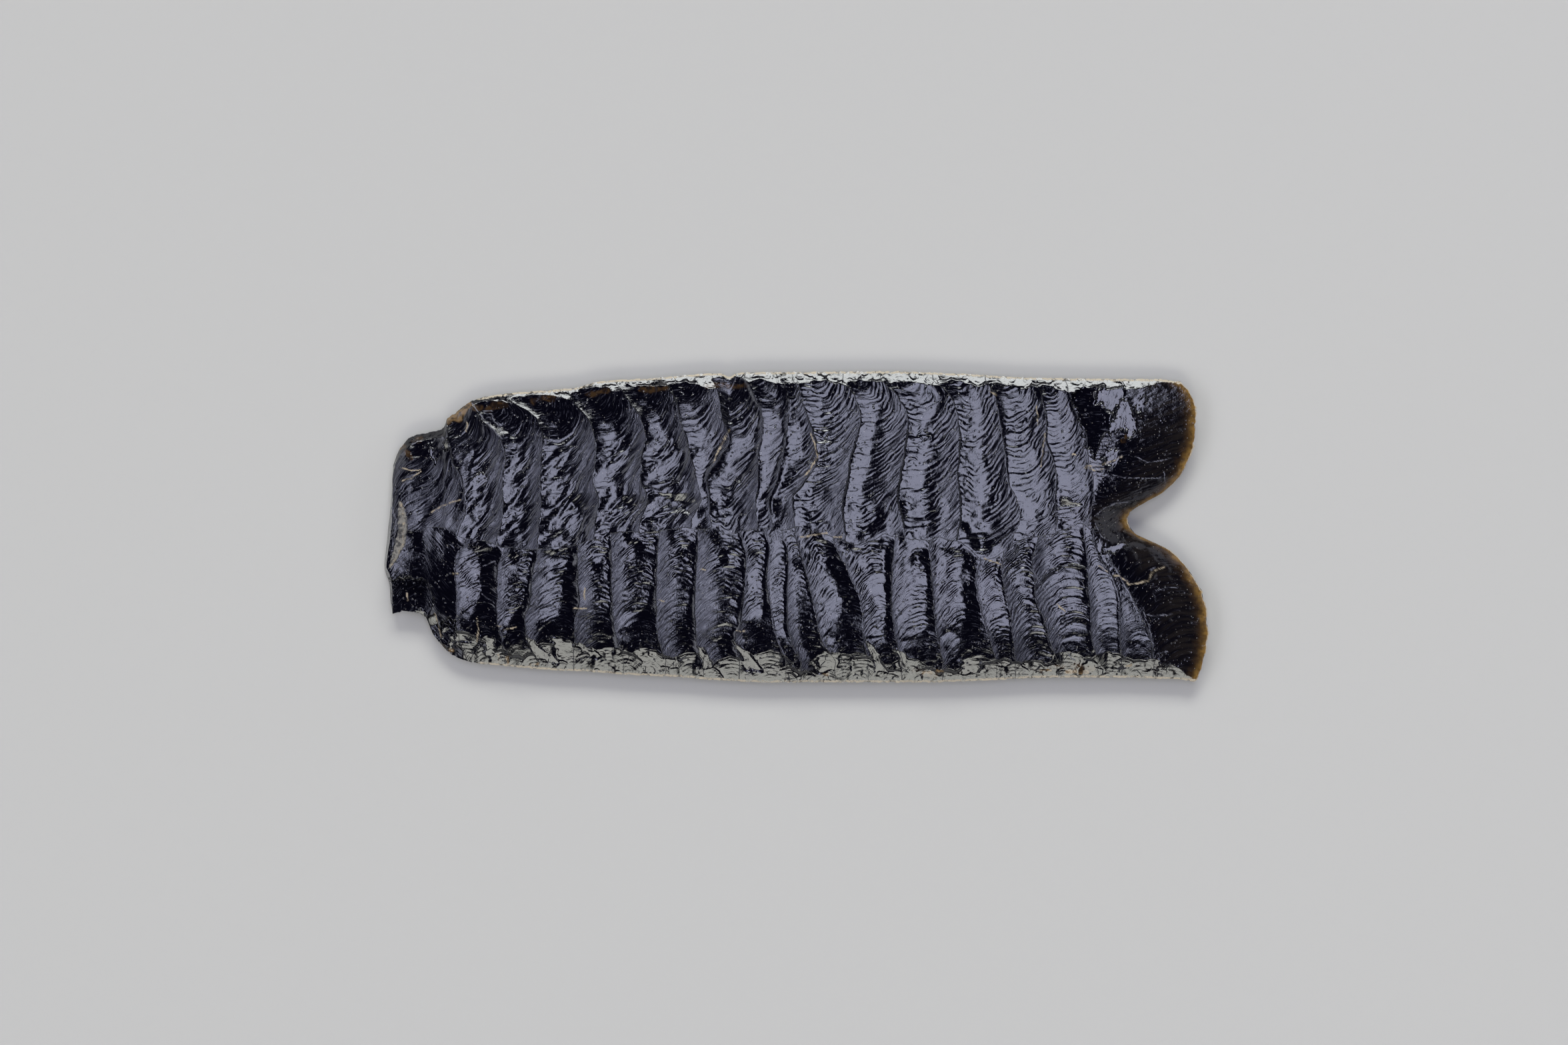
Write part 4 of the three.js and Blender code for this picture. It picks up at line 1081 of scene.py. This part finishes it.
def makeGlass():
    glass = bpy.data.materials.new("obsidian")
    glass.use_nodes = True
    nodes = glass.node_tree.nodes
    connect, calculate, step = nodeTools(glass.node_tree)
    shader = nodes["Principled BSDF"]
    where = nodes.new("ShaderNodeTexCoord").outputs["Object"]

    def times(first, second):
        return calculate("MULTIPLY", first, second)

    def larger(first, second):
        return calculate("MAXIMUM", first, second)

    def kept(name, output="Fac"):
        node = nodes.new("ShaderNodeAttribute")
        node.attribute_name = name
        return node.outputs[output]

    frost, fromRim, fromFork, sand, bevel = [
        kept(name) for name in ("frost", "fromCrushed", "fromFork", "sand", "bevel")]

    def noise(vector, scale, detail=2, roughness=0.5):
        node = nodes.new("ShaderNodeTexNoise")
        for name, value in zip(
                ("Vector", "Scale", "Detail", "Roughness"), (vector, scale, detail, roughness)):
            connect(value, node.inputs[name])
        return node.outputs["Fac"]

    def patches(name):
        scale, detail, *ramp = stone["patches"][name]
        return step(noise(where, scale, detail), *ramp)

    def nearFork(name):
        scale, detail, width, start, end = stone["nearFork"][name]
        away = calculate("ADD", fromFork, times(noise(where, scale, detail), width))
        return step(away, start, end, 1, 0)

    def cells(name):
        feature, scale, start, end, strength = stone["cells"][name]
        node = nodes.new("ShaderNodeTexVoronoi")
        node.feature = feature
        connect(where, node.inputs["Vector"])
        node.inputs["Scale"].default_value = scale
        return times(step(node.outputs["Distance"], start, end, strength, 0), patches(name))

    def marks(name):
        scaleAhead, scaleAcross, detail, roughness = stone["marks"][name]
        node = nodes.new("ShaderNodeMapping")
        connect(kept("flow", "Vector"), node.inputs["Vector"])
        node.inputs["Scale"].default_value = (scaleAhead, scaleAcross, 1)
        return noise(node.outputs["Vector"], 1, detail, roughness)

    def blend(share, low, high):
        node = nodes.new("ShaderNodeMix")
        node.data_type = "RGBA"
        for socket, value in zip((0, 6, 7), (share, low, high)):
            connect(value, node.inputs[socket])
        return node.outputs[2]

    streaks = calculate("SUBTRACT", marks("streaks"), 0.5)
    frostedAndSheen = calculate("MULTIPLY_ADD", streaks, stone["frostStreaks"], times(frost, stone["frostShare"]))
    frostedAndSheen = step(frostedAndSheen, *stone["frostRamp"])
    ragged = times(noise(where, *stone["raggedNoise"]), stone["raggedWidth"])
    crushedRim = step(calculate("SUBTRACT", fromRim, ragged), *stone["crushedRim"])
    crushedFork = step(calculate("SUBTRACT", fromFork, ragged), *stone["crushedFork"])
    crushed = larger(times(crushedRim, patches("crushed")), crushedFork)
    cracks = times(cells("cracks"), bevel)

    # the colours, one over the other
    colors = {name: (*color, 1) for name, color in stone["colors"].items()}
    colors.update({kind: (*marking["color"], 1) for kind, marking in markings.items()})
    coats = [
        ("haze", times(nearFork("haze"), step(marks("haze"), *stone["streakedRamp"]))),
        ("thin", times(nearFork("thin"), stone["thinShare"])),
        # golden rim, then pale specks that are partly dust and partly painted glints
        ("golden", times(nearFork("golden"), patches("golden"))), ("dust", cells("dust")),
        # stains and lines; the pale lines are painted highlight
        *[(kind, kept(kind)) for kind in ("brown", "amber", "pale", "tan")],
        ("crushed", crushed), ("sand", times(sand, patches("sand")))]
    # frosted grey over the glass, partly painted sheen
    color = blend(frostedAndSheen, colors["glass"], colors["frostedAndSheen"])
    for name, share in coats:
        color = blend(share, color, colors[name])
    connect(color, shader.inputs["Base Color"])

    roughness = stone["roughness"]
    rough = calculate("ADD", roughness["gloss"], times(frostedAndSheen, roughness["frost"]))
    dull = larger(larger(sand, crushed), larger(kept("tan"), kept("pale")))
    rough = larger(larger(rough, times(dull, roughness["sand"])), times(cracks, roughness["cracks"]))
    connect(rough, shader.inputs["Roughness"])
    shader.inputs["IOR"].default_value = stone["index"]

    # fine marks: rings and hackle lines that follow the scar, grit, cracks and pits
    gritNoise = noise(where, *stone["gritNoise"])
    relief = 0
    for name, mark, gate in (
            ("rings", marks("rings"), frost), ("hackles", marks("hackles"), frost),
            ("grit", gritNoise, bevel)):
        height = calculate("MULTIPLY_ADD", gate, *stone["heights"][name])
        relief = calculate("MULTIPLY_ADD", mark, height, relief)
    relief = calculate("MULTIPLY_ADD", cracks, stone["crackHeight"], relief)
    relief = calculate("MULTIPLY_ADD", cells("pits"), stone["pitHeight"], relief)
    relief = calculate("MULTIPLY_ADD", times(sand, ragged), stone["sandHeight"], relief)
    bump = nodes.new("ShaderNodeBump")
    bump.inputs["Distance"].default_value = 1 / toMillimetres
    bump.inputs["Strength"].default_value = 1
    connect(relief, bump.inputs["Height"])
    connect(bump.outputs["Normal"], shader.inputs["Normal"])
    return glass


blade = makeBlade()
blade.data.materials.append(makeGlass())
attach(blade, "root")
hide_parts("blade")


tabletop = {"size": 20, "color": (0.57, 0.557, 0.512), "roughness": 1, "specular": 0}


def makeFloor():
    mesh = bpy.data.meshes.new("floor")
    size = tabletop["size"]
    corners = [(-size, -size, 0), (size, -size, 0), (size, size, 0), (-size, size, 0)]
    mesh.from_pydata(corners, [], [(0, 1, 2, 3)])
    floor = bpy.data.objects.new("floor", mesh)
    bpy.context.scene.collection.objects.link(floor)
    paper = bpy.data.materials.new("pale_table")
    paper.use_nodes = True
    shader = paper.node_tree.nodes["Principled BSDF"]
    shader.inputs["Base Color"].default_value = (*tabletop["color"], 1)
    shader.inputs["Roughness"].default_value = tabletop["roughness"]
    shader.inputs["Specular IOR Level"].default_value = tabletop["specular"]
    mesh.materials.append(paper)


makeFloor()

# Lights: bands to the north and south for the bevels, soft ones to the sides, a lavender window
# overhead. Bands are in degrees, the window's places and height in metres
lighting = {
    "bands": {
        "north": {"strength": 11, "color": (0.97, 1, 1), "halfWidth": 20, "low": 23, "high": 42},
        "south": {"strength": 5.1, "color": (1, 1, 0.93), "halfWidth": 16, "low": 34, "high": 54},
        "east": {"strength": 0.6, "color": (0.85, 0.87, 1), "halfWidth": 55, "low": 22, "high": 45},
        "west": {"strength": 2.1, "color": (0.85, 0.87, 1), "halfWidth": 55, "low": 22, "high": 45}},
    "turnSoftness": 4, "heightSoftness": 2.5,
    "horizonStrength": 0.57, "horizonHeight": 6, "domeStrength": 0.015,
    "windowRadiance": 5.4, "windowColor": (0.735, 0.76, 1.0), "windowHeight": 2,
    "windowAlong": (-0.035, 0.525), "windowAcross": (-0.59, 0.78),
}


def makeWorld():
    world = bpy.data.worlds.new("studio")
    bpy.context.scene.world = world
    world.use_nodes = True
    nodes, links = world.node_tree.nodes, world.node_tree.links
    nodes.clear()
    connect, calculate, step = nodeTools(world.node_tree)
    split = nodes.new("ShaderNodeSeparateXYZ")
    links.new(nodes.new("ShaderNodeTexCoord").outputs["Generated"], split.inputs[0])

    def between(value, low, high, soft):
        rise, fall = step(value, low - soft, low + soft), step(value, high - soft, high + soft, 1, 0)
        return calculate("MULTIPLY", rise, fall)

    x, y, z = split.outputs
    height = calculate("MULTIPLY", calculate("ARCSINE", z), 180 / math.pi)
    glows = [(lighting["domeStrength"], (1, 1, 1))]
    sides = {"north": (x, y, 1), "south": (x, y, -1), "east": (y, x, 1), "west": (y, x, -1)}
    for name, (aside, ahead, sign) in sides.items():
        band = lighting["bands"][name]
        turn = calculate("ARCTAN2", aside, calculate("MULTIPLY", ahead, sign))
        turn = calculate("MULTIPLY", turn, 180 / math.pi)
        share = calculate(
            "MULTIPLY", between(turn, -band["halfWidth"], band["halfWidth"], lighting["turnSoftness"]),
            between(height, band["low"], band["high"], lighting["heightSoftness"]))
        glows.append((calculate("MULTIPLY", share, band["strength"]), band["color"]))
    horizon = step(height, 0, 2 * lighting["horizonHeight"], lighting["horizonStrength"], 0)
    glows.append((horizon, (1, 1, 1)))
    total = None
    for strength, tint in glows:
        glow = nodes.new("ShaderNodeBackground")
        glow.inputs["Color"].default_value = (*tint, 1)
        connect(strength, glow.inputs["Strength"])
        if total is None:
            total = glow.outputs[0]
        else:
            both = nodes.new("ShaderNodeAddShader")
            links.new(total, both.inputs[0])
            links.new(glow.outputs[0], both.inputs[1])
            total = both.outputs[0]
    links.new(total, nodes.new("ShaderNodeOutputWorld").inputs["Surface"])


def makeWindow():
    (left, right), (near, far) = lighting["windowAlong"], lighting["windowAcross"]
    lamp = bpy.data.lights.new("window", "AREA")
    lamp.shape = "RECTANGLE"
    lamp.size, lamp.size_y = right - left, far - near
    # a lamp's power for a given radiance: area times pi
    lamp.energy = lighting["windowRadiance"] * lamp.size * lamp.size_y * math.pi
    lamp.color = lighting["windowColor"]
    window = bpy.data.objects.new("window", lamp)
    window.location = ((left + right) / 2, (near + far) / 2, lighting["windowHeight"])
    window.visible_camera = False
    bpy.context.scene.collection.objects.link(window)


makeWorld()
makeWindow()
print("lights made")

# Camera: straight down, the photograph's frame
view = {"frameWidth": 2352, "frameHeight": 1568, "lens": 100, "sensor": 36}
pixel = pixelSize / toMillimetres
cameraData = bpy.data.cameras.new("camera")
cameraData.lens = view["lens"]
cameraData.sensor_width = view["sensor"]
camera = bpy.data.objects.new("camera", cameraData)
centreColumn = (readings["right"] + readings["left"]) / 2
centreRow = (readings["top"] + readings["bottom"]) / 2
distance = pixel * view["frameWidth"] * view["lens"] / view["sensor"]
camera.location = (
    (view["frameWidth"] / 2 - centreColumn) * pixel, (centreRow - view["frameHeight"] / 2) * pixel,
    distance + preform["rimHeight"] / toMillimetres)
bpy.context.scene.collection.objects.link(camera)
bpy.context.scene.camera = camera
bpy.context.scene.view_settings.view_transform = "Standard"
